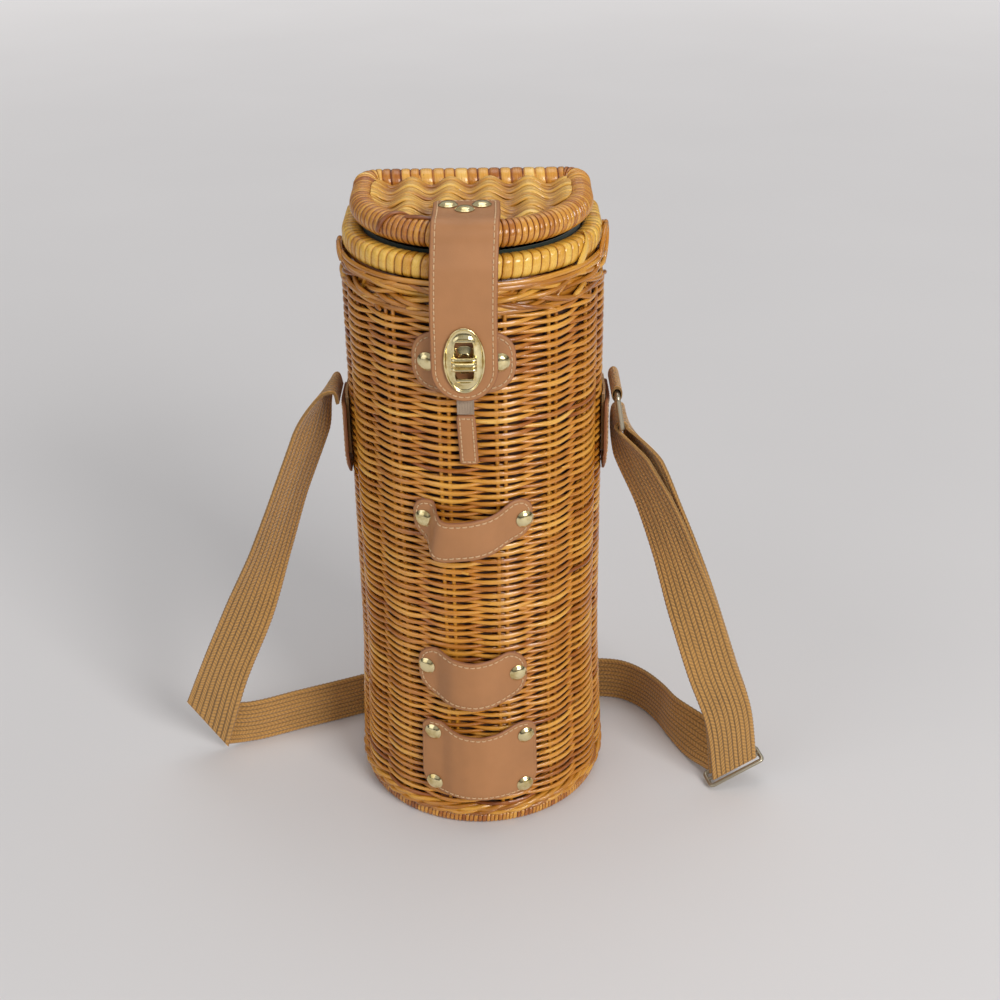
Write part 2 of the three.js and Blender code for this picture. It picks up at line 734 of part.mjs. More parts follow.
// Extrudes a shape drawn in Y and Z along X, centred on a place.
function acrossX(shape, width, x) {
  const geometry = new THREE.ExtrudeGeometry(shape, { depth: width, bevelEnabled: false });
  geometry.applyMatrix4(new THREE.Matrix4().makeBasis(
    new THREE.Vector3(0, 1, 0), new THREE.Vector3(0, 0, 1), new THREE.Vector3(1, 0, 0)));
  return geometry.translate(x - width / 2, 0, 0);
}
['left', 'right'].forEach((label, i) => {
  const shape = new THREE.Shape(bandOutline(hingeThickness));
  shape.holes.push(new THREE.Path(bandOutline(0)));
  piece(`hinge_loop_${label}`, acrossX(shape, hingeWidth, (i - 1 / 2) * hingeSpacing), paleCane);
});

// Closing strap: one part fixed on the lid, one part that hangs over the lock
const rollLeather = rollRadius + clearance + closureThickness / 2;
const flapPlane = frontPoint(fittingShift, lockHeight, 0)[1] - capSeat - lockBackThickness * 2
  - clearance * 3 - closureThickness / 2;
const pivotAngle = Math.PI + closureThickness / (2 * rollLeather);
const pivotY = crestY + rollLeather * Math.cos(pivotAngle);
const pivotZ = rollHeight + rollLeather * Math.sin(pivotAngle);

// Gives a slab its thickness along a route in Y and Z, with a half width for each place.
function routeSlab(route, halfAt, thickness, columns, x) {
  const tangents = route.map((_, i) => {
    const a = route[Math.max(i - 1, 0)];
    const b = route[Math.min(i + 1, route.length - 1)];
    const length = Math.hypot(b[0] - a[0], b[1] - a[1]);
    return [(b[0] - a[0]) / length, (b[1] - a[1]) / length];
  });
  const last = route.length - 1;
  return slab(columns, last, (u, v, depth) => {
    const i = Math.round(v * last);
    const off = (1 / 2 - depth) * thickness;
    const half = halfAt(i);
    const y = route[i][0] + tangents[i][1] * off;
    return [x + (2 * u - 1) * half, y, route[i][1] - tangents[i][0] * off];
  });
}

const anchorEnd = pivotAngle - (closureThickness / 2 + clearance) / rollLeather;
const anchorArcStart = Math.PI / 2;
const anchorRoute = [[crestY + closureRun, leatherOnLid]];
for (let i = 0; i <= roundSteps / 2; i += 1) {
  const angle = anchorArcStart + ((anchorEnd - anchorArcStart) * i) / (roundSteps / 2);
  anchorRoute.push([crestY + rollLeather * Math.cos(angle), rollHeight + rollLeather * Math.sin(angle)]);
}
const anchorSlab = routeSlab(anchorRoute, () => closureWidth / 2, closureThickness, 2, fittingShift);
piece('closure_strap_top', cut(anchorSlab, lidHoles), tan);

const flapKneeY = -frontReach - borderProud - clearance - closureThickness;
const flapRoute = [[pivotY, pivotZ], [flapKneeY, borderTop + closureThickness], [flapPlane, wallTop]];
const flapEndRadius = closureWidth / 2;
const flapArcTop = closureBottom + flapEndRadius;
flapRoute.push([flapPlane, lockHeight], [flapPlane, flapArcTop]);
const flapHalf = flapRoute.map(() => closureWidth / 2);
const flapArcSteps = 6;
const flapArcEndShare = 0.94;
for (let i = 1; i <= flapArcSteps; i += 1) {
  const angle = (Math.PI / 2) * (i / flapArcSteps) * flapArcEndShare;
  flapRoute.push([flapPlane, flapArcTop - flapEndRadius * Math.sin(angle)]);
  flapHalf.push(flapEndRadius * Math.cos(angle));
}
const lockX = fittingShift;
const flapWindow = new THREE.BoxGeometry(
  lockSlotWidth + 2 * clearance, closureThickness + 2 * overrun, lockSlotHeight + 2 * clearance);
flapWindow.translate(lockX, flapPlane, lockHeight);
const flapSlab = routeSlab(flapRoute, (i) => flapHalf[i], closureThickness, 2, fittingShift);
piece('closure_strap_flap', cut(flapSlab, [flapWindow]), tan);

// An oval plate facing -Y at the lock, with an upright slot, from one depth to another.
function ovalPlate(width, height, backY, thickness) {
  const shape = new THREE.Shape();
  shape.absellipse(0, 0, width / 2, height / 2, 0, 2 * Math.PI, false, 0);
  const slot = new THREE.Path();
  const radius = lockSlotWidth / 2;
  const middle = lockSlotHeight / 2 - radius;
  slot.absarc(0, middle, radius, 0, Math.PI, false);
  slot.absarc(0, -middle, radius, Math.PI, 2 * Math.PI, false);
  slot.closePath();
  shape.holes.push(slot);
  const curveSegments = roundSteps;
  const geometry = new THREE.ExtrudeGeometry(shape, { depth: thickness, bevelEnabled: false, curveSegments });
  return geometry.rotateX(Math.PI / 2).translate(lockX, backY, lockHeight);
}
const flapFront = flapPlane - closureThickness / 2;
const flapRear = flapPlane + closureThickness / 2;
const slotPlateBack = flapFront - clearance;
const slotPlateFront = slotPlateBack - lockPlateThickness;
const slotBackY = flapRear + clearance + lockBackThickness;
const slotPlate = ovalPlate(lockPlateWidth, lockPlateHeight, slotPlateBack, lockPlateThickness);
piece('lock_slot_plate', slotPlate, brass);
const slotBackPlate = ovalPlate(lockBackWidth, lockBackHeight, slotBackY, lockBackThickness);
piece('lock_slot_back_plate', slotBackPlate, brass);

// Turn lock: a fixed plate with a hollow post, and the bar that turns in it
const basePlateFront = slotBackY + clearance;
const basePlateBack = basePlateFront + lockBackThickness;
const postLength = basePlateFront - slotPlateFront + clearance;
const boreRadius = lockSpindle / 2 + clearance;
const postSeat = [lockX, basePlateBack, lockHeight];
piece('lock_base_plate', turned([
  [boreRadius, 0], [lockBackWidth / 2, 0], [lockBackWidth / 2, lockBackThickness],
  [lockPost / 2, lockBackThickness], [lockPost / 2, lockBackThickness + postLength],
  [boreRadius, lockBackThickness + postLength], [boreRadius, 0],
], postSeat, [0, -1, 0]), brass);
const barBack = slotPlateFront - 2 * clearance;
const barGripShare = 0.6;
const bar = new THREE.Shape([
  [-turnBarLength / 2, 0], [turnBarLength / 2, 0],
  [(turnBarLength / 2) * barGripShare, turnBarDepth], [(-turnBarLength / 2) * barGripShare, turnBarDepth],
].map(([x, y]) => new THREE.Vector2(x, -y)).reverse());
const barSolid = new THREE.ExtrudeGeometry(bar, { depth: turnBarHeight, bevelEnabled: false });
barSolid.translate(lockX, barBack, lockHeight - turnBarHeight / 2);
const spindle = turned([
  [0, 0], [lockSpindle / 2, 0], [lockSpindle / 2, basePlateBack - barBack + clearance],
  [0, basePlateBack - barBack + clearance],
], postSeat, [0, -1, 0]);
piece('turn_button', join([barSolid, spindle]), brass);

// Pull tab on its ribbon, below the lock
piece('pull_ribbon', frontPanel({
  centre: fittingShift,
  width: ribbonWidth,
  thickness: ribbonThickness,
  columns: 2,
  rows: 1,
  low: () => tabTop + clearance,
  high: () => ribbonTop,
  off: () => 0,
}), grey);
piece('pull_tab', frontPanel({
  centre: fittingShift,
  width: tabWidth,
  thickness: leather,
  columns: 2,
  rows: 2,
  low: () => tabBottom,
  high: () => tabTop,
  off: () => 0,
}), tan);

// Side leathers over the sewn ends of the webbing
const webEndOff = clearance;
const sideLeatherOff = webEndOff + webEndThickness + clearance;
const sideTipShare = 0.3;
const sideShoulderShare = 0.35;
const sideOuter = halfWidth + sideLeatherOff + leather;
[['left', -1], ['right', 1]].forEach(([label, side]) => {
  piece(`side_leather_${label}`, slab(6, 6, (u, v, depth) => {
    const z = sideLeatherBottom + (sideLeatherTop - sideLeatherBottom) * v;
    const taper = Math.sin((Math.min(v / sideShoulderShare, 1) * Math.PI) / 2);
    const half = (sideLeatherWidth / 2) * (sideTipShare + (1 - sideTipShare) * taper);
    const lift = Math.min(Math.max((z - sideLeatherBottom) / (webEndBottom - sideLeatherBottom), 0), 1);
    const off = clearance + (sideLeatherOff - clearance) * lift;
    return sidePoint(side, side * (2 * u - 1) * half, z, off + depth * leather);
  }), tan);
  piece(`webbing_end_${label}`, slab(4, 1, (u, v, depth) => {
    const z = webEndBottom + clearance + (anchorHeight - webEndBottom) * v;
    const y = (side * (2 * u - 1) * strapWidth) / 2;
    return sidePoint(side, y, z, webEndOff + depth * webEndThickness);
  }), khaki);
});

// Shoulder strap. A station is a centre and the vector from the centre to one edge, given as
// shares: of the way out from the anchor, of the strap's depth, of the anchor height, and of
// half the webbing's width.
const strapStart = sideOuter + clearance + strapThickness / 2;
const strapReach = halfWidth + strapSpread;
const strapDepth = backReach + flare + strapBehind;
const halfWebbing = strapWidth / 2;

function runStation(side, [x, y, z, ...edge]) {
  const out = strapStart + x * (strapReach - strapStart);
  const centre = new THREE.Vector3(side * out, y * strapDepth, z * anchorHeight);
  return [centre, new THREE.Vector3(...edge).multiplyScalar(halfWebbing)];
}

function floorStation([x, y, z, ...edge]) {
  const centre = new THREE.Vector3(x * strapReach, y * strapDepth, floorGap + z * halfWebbing);
  return [centre, new THREE.Vector3(...edge).multiplyScalar(halfWebbing)];
}

// A flat band of webbing through its stations.
function webbing(stations, steps) {
  const centreLine = new THREE.CatmullRomCurve3(stations.map(([centre]) => centre));
  const edgeLine = new THREE.CatmullRomCurve3(stations.map(([, edge]) => edge));
  return slab(steps, 1, (u, v, depth) => {
    const centre = centreLine.getPoint(u);
    const edge = edgeLine.getPoint(u);
    const normal = centreLine.getTangent(u).cross(edge).normalize();
    const point = centre.addScaledVector(edge, 2 * v - 1);
    return point.addScaledVector(normal, (depth - 1 / 2) * strapThickness).toArray();
  });
}

const leftRunShares = [
  [0, 0, 0.985, 0, -1, 0],
  [0.02, -0.005, 1.012, 0, -1, 0],
  [0.06, -0.01, 1.008, -0.1, -0.99, 0.03],
  [0.12, -0.02, 0.964, -0.35, -0.92, 0.12],
  [0.183, -0.02, 0.892, -0.61, -0.76, 0.21],
  [0.34, -0.02, 0.736, -0.62, -0.75, 0.22],
  [0.491, -0.02, 0.576, -0.73, -0.62, 0.27],
  [0.663, -0.02, 0.408, -0.92, -0.2, 0.35],
  [0.86, -0.02, 0.233, -0.92, 0, 0.4],
  [1, -0.02, 0.082, -0.753, 0, 1.167],
];
piece('strap_left_run', webbing(leftRunShares.map((row) => runStation(-1, row)), 26), khaki);

// Slider, which lies at the right end with one end on the floor
const sliderCentre = new THREE.Vector3(
  strapStart + sliderOutShare * (strapReach - strapStart),
  sliderDepthShare * strapDepth,
  floorGap + sliderHeightShare * halfWebbing,
);
const sliderAlong = new THREE.Vector3(...sliderAlongShares).normalize();
const sliderUp = new THREE.Vector3(...sliderUpShares).cross(sliderAlong).cross(sliderAlong).negate();
sliderUp.normalize();
const sliderAcross = new THREE.Vector3().crossVectors(sliderUp, sliderAlong).normalize();
const sliderFrame = new THREE.Matrix4().makeBasis(sliderAlong, sliderAcross, sliderUp);
sliderFrame.setPosition(sliderCentre);

function boxPath(kind, halfX, lowY, highY) {
  return new kind([[-halfX, lowY], [halfX, lowY], [halfX, highY], [-halfX, highY]].map(
    ([x, y]) => new THREE.Vector2(x, y)));
}
const sliderShape = boxPath(THREE.Shape, sliderLength / 2, -sliderWidth / 2, sliderWidth / 2);
const sliderWindow = sliderWidth / 2 - sliderBar;
sliderShape.holes.push(
  boxPath(THREE.Path, sliderLength / 2 - sliderBar, -sliderWindow, -sliderBar / 2),
  boxPath(THREE.Path, sliderLength / 2 - sliderBar, sliderBar / 2, sliderWindow),
);
const sliderSolid = new THREE.ExtrudeGeometry(sliderShape, { depth: sliderThickness, bevelEnabled: false });
sliderSolid.translate(0, 0, -sliderThickness / 2).applyMatrix4(sliderFrame);
piece('strap_slider', sliderSolid, agedBrass);

// A place on the slider, in its own directions.
function onSlider(across, up) {
  return sliderCentre.clone().addScaledVector(sliderAcross, across).addScaledVector(sliderUp, up);
}
const sliderEdge = sliderAlong.clone().multiplyScalar(halfWebbing);
const slotMiddle = (sliderWindow + sliderBar / 2) / 2;
const aboveSlider = sliderThickness / 2 + clearance;

const floorRunShares = [
  [-1, 0.026, 1.333, -0.753, 0, 1.167],
  [-0.86, 0.15, 1, 0, 0, 1],
  [-0.677, 0.39, 1, 0, 0, 1],
  [-0.482, 0.66, 1, 0, 0, 1],
  [-0.298, 0.925, 1, 0, 0, 1],
  [-0.115, 0.985, 1, 0, 0, 1],
  [0.143, 1, 1, 0, 0, 1],
  [0.402, 1, 1, 0, 0, 1],
  [0.528, 0.934, 1, 0, 0, 1],
  [0.605, 0.726, 1, 0.02, 0, 1],
  [0.663, 0.415, 1, 0.06, 0.01, 1],
  [0.698, 0.132, 1, 0.12, 0.03, 0.99],
  [0.773, -0.217, 0.88, 0.45, 0.1, 0.88],
];
const floorStations = floorRunShares.map(floorStation);
floorStations.push([onSlider(sliderWidth / 2 + clearance, 0), sliderEdge]);
piece('strap_floor_run', webbing(floorStations, 30), khaki);

// Ring on the right anchor, in a loop of webbing
const tubeX = sideOuter + clearance + loopTubeDepth / 2;
const tubeShape = new THREE.Shape();
tubeShape.absellipse(0, 0, loopTubeHeight / 2, loopTubeDepth / 2, 0, 2 * Math.PI, false, 0);
const tubeBore = new THREE.Path();
const boreHeight = loopTubeHeight / 2 - webEndThickness;
tubeBore.absellipse(0, 0, boreHeight, loopTubeDepth / 2 - webEndThickness / 2, 0, 2 * Math.PI, false, 0);
tubeShape.holes.push(tubeBore);
const tubeSolid = new THREE.ExtrudeGeometry(tubeShape, {
  depth: strapWidth, bevelEnabled: false, curveSegments: roundSteps,
});
tubeSolid.rotateZ(Math.PI / 2).rotateX(Math.PI / 2).translate(tubeX, strapWidth / 2, anchorHeight);
piece('ring_webbing_loop', tubeSolid, khaki);

// The ring is a closed wire with four rounded corners, swept by hand because it closes. It hangs
// from its upper bar and leans out at the bottom.
const ringCornerSteps = 3;
const ringSides = 8;
const ringCorner = ringWire;
const ringTop = new THREE.Vector3(tubeX, 0, anchorHeight);
const ringBar = ringTop.clone().add(new THREE.Vector3(ringLean, 0, -ringDrop));
const ringMiddle = ringTop.clone().lerp(ringBar, 1 / 2);
const ringUp = ringTop.clone().sub(ringBar).normalize();
const ringOut = new THREE.Vector3(ringUp.z, 0, -ringUp.x);
const ringHalfY = ringWidth / 2 - ringWire / 2 - ringCorner;
const ringHalfUp = Math.hypot(ringDrop, ringLean) / 2 - ringCorner;
const ringPoints = [];
const ringFaces = [];
const ringStops = 4 * (ringCornerSteps + 1);
[[1, 1], [-1, 1], [-1, -1], [1, -1]].forEach(([sideways, upwards], k) => {
  for (let i = 0; i <= ringCornerSteps; i += 1) {
    const turn = (Math.PI / 2) * (k + i / ringCornerSteps);
    const outward = new THREE.Vector3(0, Math.cos(turn), 0).addScaledVector(ringUp, Math.sin(turn));
    const centre = ringMiddle.clone().addScaledVector(outward, ringCorner);
    centre.y += sideways * ringHalfY;
    centre.addScaledVector(ringUp, upwards * ringHalfUp);
    const base = k * (ringCornerSteps + 1) * ringSides + i * ringSides;
    for (let j = 0; j < ringSides; j += 1) {
      const angle = (2 * Math.PI * (j + 1 / 2)) / ringSides;
      const point = centre.clone().addScaledVector(outward, (ringWire / 2) * Math.cos(angle));
      ringPoints.push(point.addScaledVector(ringOut, (ringWire / 2) * Math.sin(angle)).toArray());
      const a = base + j;
      const b = base + ((j + 1) % ringSides);
      const next = ringStops * ringSides;
      ringFaces.push([a, (b + ringSides) % next, b], [a, (a + ringSides) % next, (b + ringSides) % next]);
    }
  }
});
piece('strap_ring', toGeometry(ringPoints, ringFaces), agedBrass);

// Right run: from the slider up the inner leg, over the ring's lower bar, down the outer leg
const wrapRadius = ringWire / 2 + 2 * clearance + strapThickness / 2;
const frontEdge = new THREE.Vector3(0, -halfWebbing, 0);
const runHeightShares = [0.826, 0.72, 0.6, 0.468, 0.316, 0.196];
const runEdgeShares = [
  [0.62, -0.75, 0.2], [0.71, -0.66, 0.25], [0.8, -0.5, 0.28],
  [0.93, -0.15, 0.32], [0.93, 0, 0.34], [0.9, 0.1, 0.38],
];
const innerRunShares = [
  [0.126, -0.123], [0.27, -0.281], [0.391, -0.406], [0.505, -0.536], [0.63, -0.662], [0.74, -0.738],
];
const outerRunShares = [
  [0.2, -0.113], [0.3, -0.226], [0.41, -0.35], [0.51, -0.475], [0.636, -0.6], [0.738, -0.68],
];
function legStations(shares) {
  return shares.map(([x, y], i) => runStation(1, [x, y, runHeightShares[i], ...runEdgeShares[i]]));
}
const wrapStations = [];
for (let i = 0; i <= 4; i += 1) {
  const angle = Math.PI * (1 - i / 4);
  const off = new THREE.Vector3(Math.cos(angle), 0, Math.sin(angle)).multiplyScalar(wrapRadius);
  wrapStations.push([ringBar.clone().add(off), frontEdge]);
}
piece('strap_right_run', webbing([
  [onSlider(-slotMiddle, aboveSlider), sliderEdge],
  ...legStations(innerRunShares).reverse(),
  ...wrapStations,
  ...legStations(outerRunShares),
  [onSlider(slotMiddle, aboveSlider), sliderEdge],
], 48), khaki);

export default basket;
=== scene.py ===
"""Dresses the wicker wine carrier: weave, wrapped rims, leather, brass and webbing.

Sizes inside the classes are millimetres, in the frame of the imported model. A Skin turns
them into metres when it builds its mesh.
"""

import logging
import math
from dataclasses import dataclass, field
from enum import Enum
from typing import Callable

import bmesh
import bpy
import numpy as np
from mathutils import Matrix, Vector


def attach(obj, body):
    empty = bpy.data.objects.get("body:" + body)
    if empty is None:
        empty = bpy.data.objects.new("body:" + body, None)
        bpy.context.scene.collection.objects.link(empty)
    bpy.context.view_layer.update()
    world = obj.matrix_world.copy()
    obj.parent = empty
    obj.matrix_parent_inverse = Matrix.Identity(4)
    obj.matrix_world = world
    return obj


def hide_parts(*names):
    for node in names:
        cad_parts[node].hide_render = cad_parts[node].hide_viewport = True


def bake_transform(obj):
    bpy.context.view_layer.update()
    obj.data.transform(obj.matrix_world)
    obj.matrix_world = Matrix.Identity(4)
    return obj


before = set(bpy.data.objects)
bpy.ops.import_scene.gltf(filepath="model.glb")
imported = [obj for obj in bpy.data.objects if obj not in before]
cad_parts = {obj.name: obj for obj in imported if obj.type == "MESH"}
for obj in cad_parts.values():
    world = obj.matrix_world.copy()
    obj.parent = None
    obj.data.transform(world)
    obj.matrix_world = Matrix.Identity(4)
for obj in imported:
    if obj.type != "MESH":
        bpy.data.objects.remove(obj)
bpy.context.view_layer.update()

log = logging.getLogger("wine_carrier")
Array = np.ndarray
Triple = tuple[float, float, float]
Surface = Callable[[Array, Array, Array], Array]
MM = 0.001
CLEARANCE = 0.3
SHARP_EDGE = math.radians(50)
FORWARD = np.array([0.0, -1.0, 0.0])
UP = np.array([0.0, 0.0, 1.0])
SIDES = (("left", -1), ("right", 1))


# Helpers for points and directions

def unit(vectors: Array) -> Array:
    """Scales each row to a length of one."""
    return vectors / np.maximum(np.linalg.norm(vectors, axis=-1, keepdims=True), 1e-9)


def spread(*columns: Array | float) -> Array:
    """Stacks columns of numbers into rows, after making them the same shape."""
    return np.stack(np.broadcast_arrays(*columns), axis=-1).astype(float)


def travel(path: Array) -> Array:
    """Gives the distance walked at each point of a path."""
    steps = np.linalg.norm(np.diff(path, axis=0), axis=-1)
    return np.concatenate([[0.0], np.cumsum(steps)])


def ease(share: Array) -> Array:
    """Slows a share from 0 to 1 down at both of its ends."""
    return share * share * (3 - 2 * share)


def squared(turn: Array, power: float) -> tuple[Array, Array]:
    """Gives the cosine and the sine of a turn, squared off where the power is below 1."""
    across, up = (np.sign(part) * np.abs(part) ** power for part in (np.cos(turn), np.sin(turn)))
    return across, up


def resample(path: Array, count: int) -> Array:
    """Places points at even distances along a path.

    Args:
        path: The points of the path.
        count: How many points to return.

    Returns:
        The new points.
    """
    walked = travel(path)
    wanted = np.linspace(0.0, walked[-1], count)
    return np.stack([np.interp(wanted, walked, path[:, k]) for k in range(path.shape[1])], axis=-1)


def smooth_noise(rng: np.random.Generator, count: int, knots: int, closed: bool = True) -> Array:
    """Makes a slowly changing random line between -1 and 1.

    Args:
        rng: The seeded source of random numbers.
        count: How many values to return.
        knots: How many random values it passes through.
        closed: Whether it ends where it starts.

    Returns:
        One value for each sample.
    """
    values = rng.uniform(-1, 1, knots)
    if closed:
        values = np.append(values, values[0])
    places = np.linspace(0, len(values) - 1, count)
    low = np.minimum(places.astype(int), len(values) - 2)
    share = ease(places - low)
    return values[low] * (1 - share) + values[low + 1] * share


def grid_faces(rows: int, columns: int, wrap_rows: bool = False, wrap_columns: bool = False) -> Array:
    """Numbers the four-sided faces of a grid of points.

    Args:
        rows: Points along the first direction.
        columns: Points along the second direction.
        wrap_rows: Whether the last row joins the first.
        wrap_columns: Whether the last column joins the first.

    Returns:
        The faces as rows of four point numbers.
    """
    i, j = np.meshgrid(np.arange(rows if wrap_rows else rows - 1),
                       np.arange(columns if wrap_columns else columns - 1), indexing="ij")
    below = (i + 1) % rows
    beside = (j + 1) % columns
    quads = [i * columns + j, i * columns + beside, below * columns + beside, below * columns + j]
    return np.stack(quads, axis=-1).reshape(-1, 4)


def capped_faces(rows: int, around: int) -> list[list[int]]:
    """Numbers the faces of a tube of points, row by row, and fills both of its ends."""
    ends = [list(range(around)), list(range(rows * around - around, rows * around))]
    return grid_faces(rows, around, False, True).tolist() + ends


def stand(name: str, data: bpy.types.ID) -> bpy.types.Object:
    """Puts a mesh, a lamp or a camera into the scene as an object."""
    thing = bpy.data.objects.new(name, data)
    bpy.context.scene.collection.objects.link(thing)
    return thing


class Skin:
    """Points and faces of one piece, with the marks that its finish reads.

    Each point has a tone from 0, dark, to 1, pale, and a run: how far it is along its strand,
    how far across it, and the strand's number.
    """

    def __init__(self) -> None:
        """Starts an empty piece."""
        self.points: list[Array] = []
        self.tones: list[Array] = []
        self.runs: list[Array] = []
        self.faces: list[list[int]] = []
        self.count = 0

    def add(self, points: Array, faces: list | Array, tone: Array | float, run: Array) -> None:
        """Adds points in millimetres and faces that number them.

        Args:
            points: One row for each point.
            faces: Lists of point numbers, counted from this call's first point.
            tone: One tone for all the points, or one for each.
            run: The run of each point, or one for all.
        """
        self.points.append(np.asarray(points, float))
        self.tones.append(np.broadcast_to(np.asarray(tone, float), (len(points),)))
        self.runs.append(np.broadcast_to(np.asarray(run, float), (len(points), 3)))
        self.faces.extend([[int(k) + self.count for k in face] for face in faces])
        self.count += len(points)

    def tube(self, path: Array, outward: Array, width: Array | float, depth: Array | float,
             tone: Array | float = 0.5, strand: float = 0.0, sides: int = 8, closed: bool = False,
             square: float = 2.0) -> None:
        """Adds a strand of cane, thread or wire.

        Args:
            path: The points of its middle line.
            outward: The direction of its depth, for all points or for each.
            width: Half its size across the outward direction.
            depth: Half its size along the outward direction.
            tone: Its tone, or one for each point of the path.
            strand: Its number.
            sides: Points round its section.
            closed: Whether it ends where it starts.
            square: 2 for an oval section, more for one with flatter faces.
        """
        count = len(path)
        if closed:
            tangent = unit(np.roll(path, -1, axis=0) - np.roll(path, 1, axis=0))
        else:
            tangent = unit(np.gradient(path, axis=0))
        out = np.broadcast_to(np.asarray(outward, float), (count, 3))
        out = unit(out - tangent * np.sum(out * tangent, axis=-1, keepdims=True))
        side = np.cross(tangent, out)
        angle = (np.arange(sides) + 0.5) * 2 * math.pi / sides
        across, up = squared(angle, 2 / square)
        widths = np.broadcast_to(np.asarray(width, float), (count,))[:, None]
        depths = np.broadcast_to(np.asarray(depth, float), (count,))[:, None]
        points = (path[:, None] + side[:, None] * (across * widths)[..., None]
                  + out[:, None] * (up * depths)[..., None])
        run = spread(travel(path)[:, None], angle * (widths + depths) / 2, strand)
        tones = np.broadcast_to(np.asarray(tone, float), (count,))
        faces = grid_faces(count, sides, True, True) if closed else capped_faces(count, sides)
        self.add(points.reshape(-1, 3), faces, np.repeat(tones, sides), run.reshape(-1, 3))

    def slab(self, front: Array, rear: Array, tone: Array | float, along: Array, across: Array) -> None:
        """Adds a strip that has a front and a rear.

        Args:
            front: Rows of points on its front.
            rear: The points behind them.
            tone: One tone for all the points, or one for each.
            along: How far along the strip each row lies.
            across: How far across it each column lies.
        """
        grid = np.concatenate([front, rear[:, ::-1]], axis=1)
        run = spread(along[:, None], np.concatenate([across, across[::-1]])[None], 0)
        self.add(grid.reshape(-1, 3), capped_faces(*grid.shape[:2]), tone, run.reshape(-1, 3))

    def lathe(self, profile: list[tuple[float, float]], start: Array, direction: Array,
              steps: int) -> None:
        """Adds a round solid, turned about an axis.

        Args:
            profile: Radius and height of each corner; the first and last lie on the axis.
            start: The point of the axis at height 0.
            direction: The direction of the axis.
            steps: Points round it.
        """
        axis = unit(np.asarray(direction, float))
        helper = UP if abs(axis[2]) < 0.9 else np.array([1.0, 0.0, 0.0])
        first = unit(np.cross(helper, axis))
        second = np.cross(axis, first)
        angle = np.arange(steps) * 2 * math.pi / steps
        rim = first * np.cos(angle)[:, None] + second * np.sin(angle)[:, None]
        inner = np.array(profile[1:-1])
        rings = start + rim[None] * inner[:, :1, None] + axis * inner[:, 1:, None]
        ends = np.array([start + axis * profile[0][1], start + axis * profile[-1][1]])
        points = np.concatenate([rings.reshape(-1, 3), ends])
        last = len(inner) * steps
        faces = grid_faces(len(inner), steps, False, True).tolist()
        for j in range(steps):
            beside = (j + 1) % steps
            faces.append([last, j, beside])
            faces.append([last - steps + beside, last - steps + j, last + 1])
        flat = [spread(angle * row[0], row[1], 0) for row in inner] + [np.zeros((2, 3))]
        self.add(points, faces, 0.5, np.concatenate(flat))

    def build(self, name: str, finish: "Finish", body: str | None, slot: str,
              stands_for: tuple[str, ...] = ()) -> bpy.types.Object:
        """Makes the piece and sets it on its body.

        Args:
            name: The piece's name.
            finish: What it is made of.
            body: The body that it rides on, or nothing for a piece that bends between two.
            slot: A material slot's name; it is not used.
            stands_for: CAD nodes that it replaces.

        Returns:
            The new object.
        """
        mesh = bpy.data.meshes.new(name)
        mesh.from_pydata((np.concatenate(self.points) * MM).tolist(), [], self.faces)
        tone = mesh.attributes.new("tone", "FLOAT", "POINT")
        tone.data.foreach_set("value", np.concatenate(self.tones).astype(np.float32))
        run = mesh.attributes.new("run", "FLOAT_VECTOR", "POINT")
        run.data.foreach_set("vector", np.concatenate(self.runs).astype(np.float32).ravel())
        shell = bmesh.new()
        shell.from_mesh(mesh)
        bmesh.ops.recalc_face_normals(shell, faces=shell.faces)
        shell.to_mesh(mesh)
        shell.free()
        mesh.shade_smooth()
        mesh.set_sharp_from_angle(angle=SHARP_EDGE)
        mesh.materials.append(finish.material())
        piece = stand(name, mesh)
        if body:
            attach(piece, body)
        if stands_for:
            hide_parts(*stands_for)
        log.info("%s: %d points", name, self.count)
        return piece


# Finishes

Colour = Triple


def linear(colour: Colour) -> tuple[float, float, float, float]:
    """Turns screen values from 0 to 255 into the renderer's numbers."""
    shares = [value / 255 for value in colour]
    raw = [c / 12.92 if c <= 0.04045 else ((c + 0.055) / 1.055) ** 2.4 for c in shares]
    return raw[0], raw[1], raw[2], 1.0


def shaded(colour: Colour, share: float) -> Colour:
    """Makes a colour darker, or paler where the share is above 1."""
    return tuple(min(c * share, 255) for c in colour)


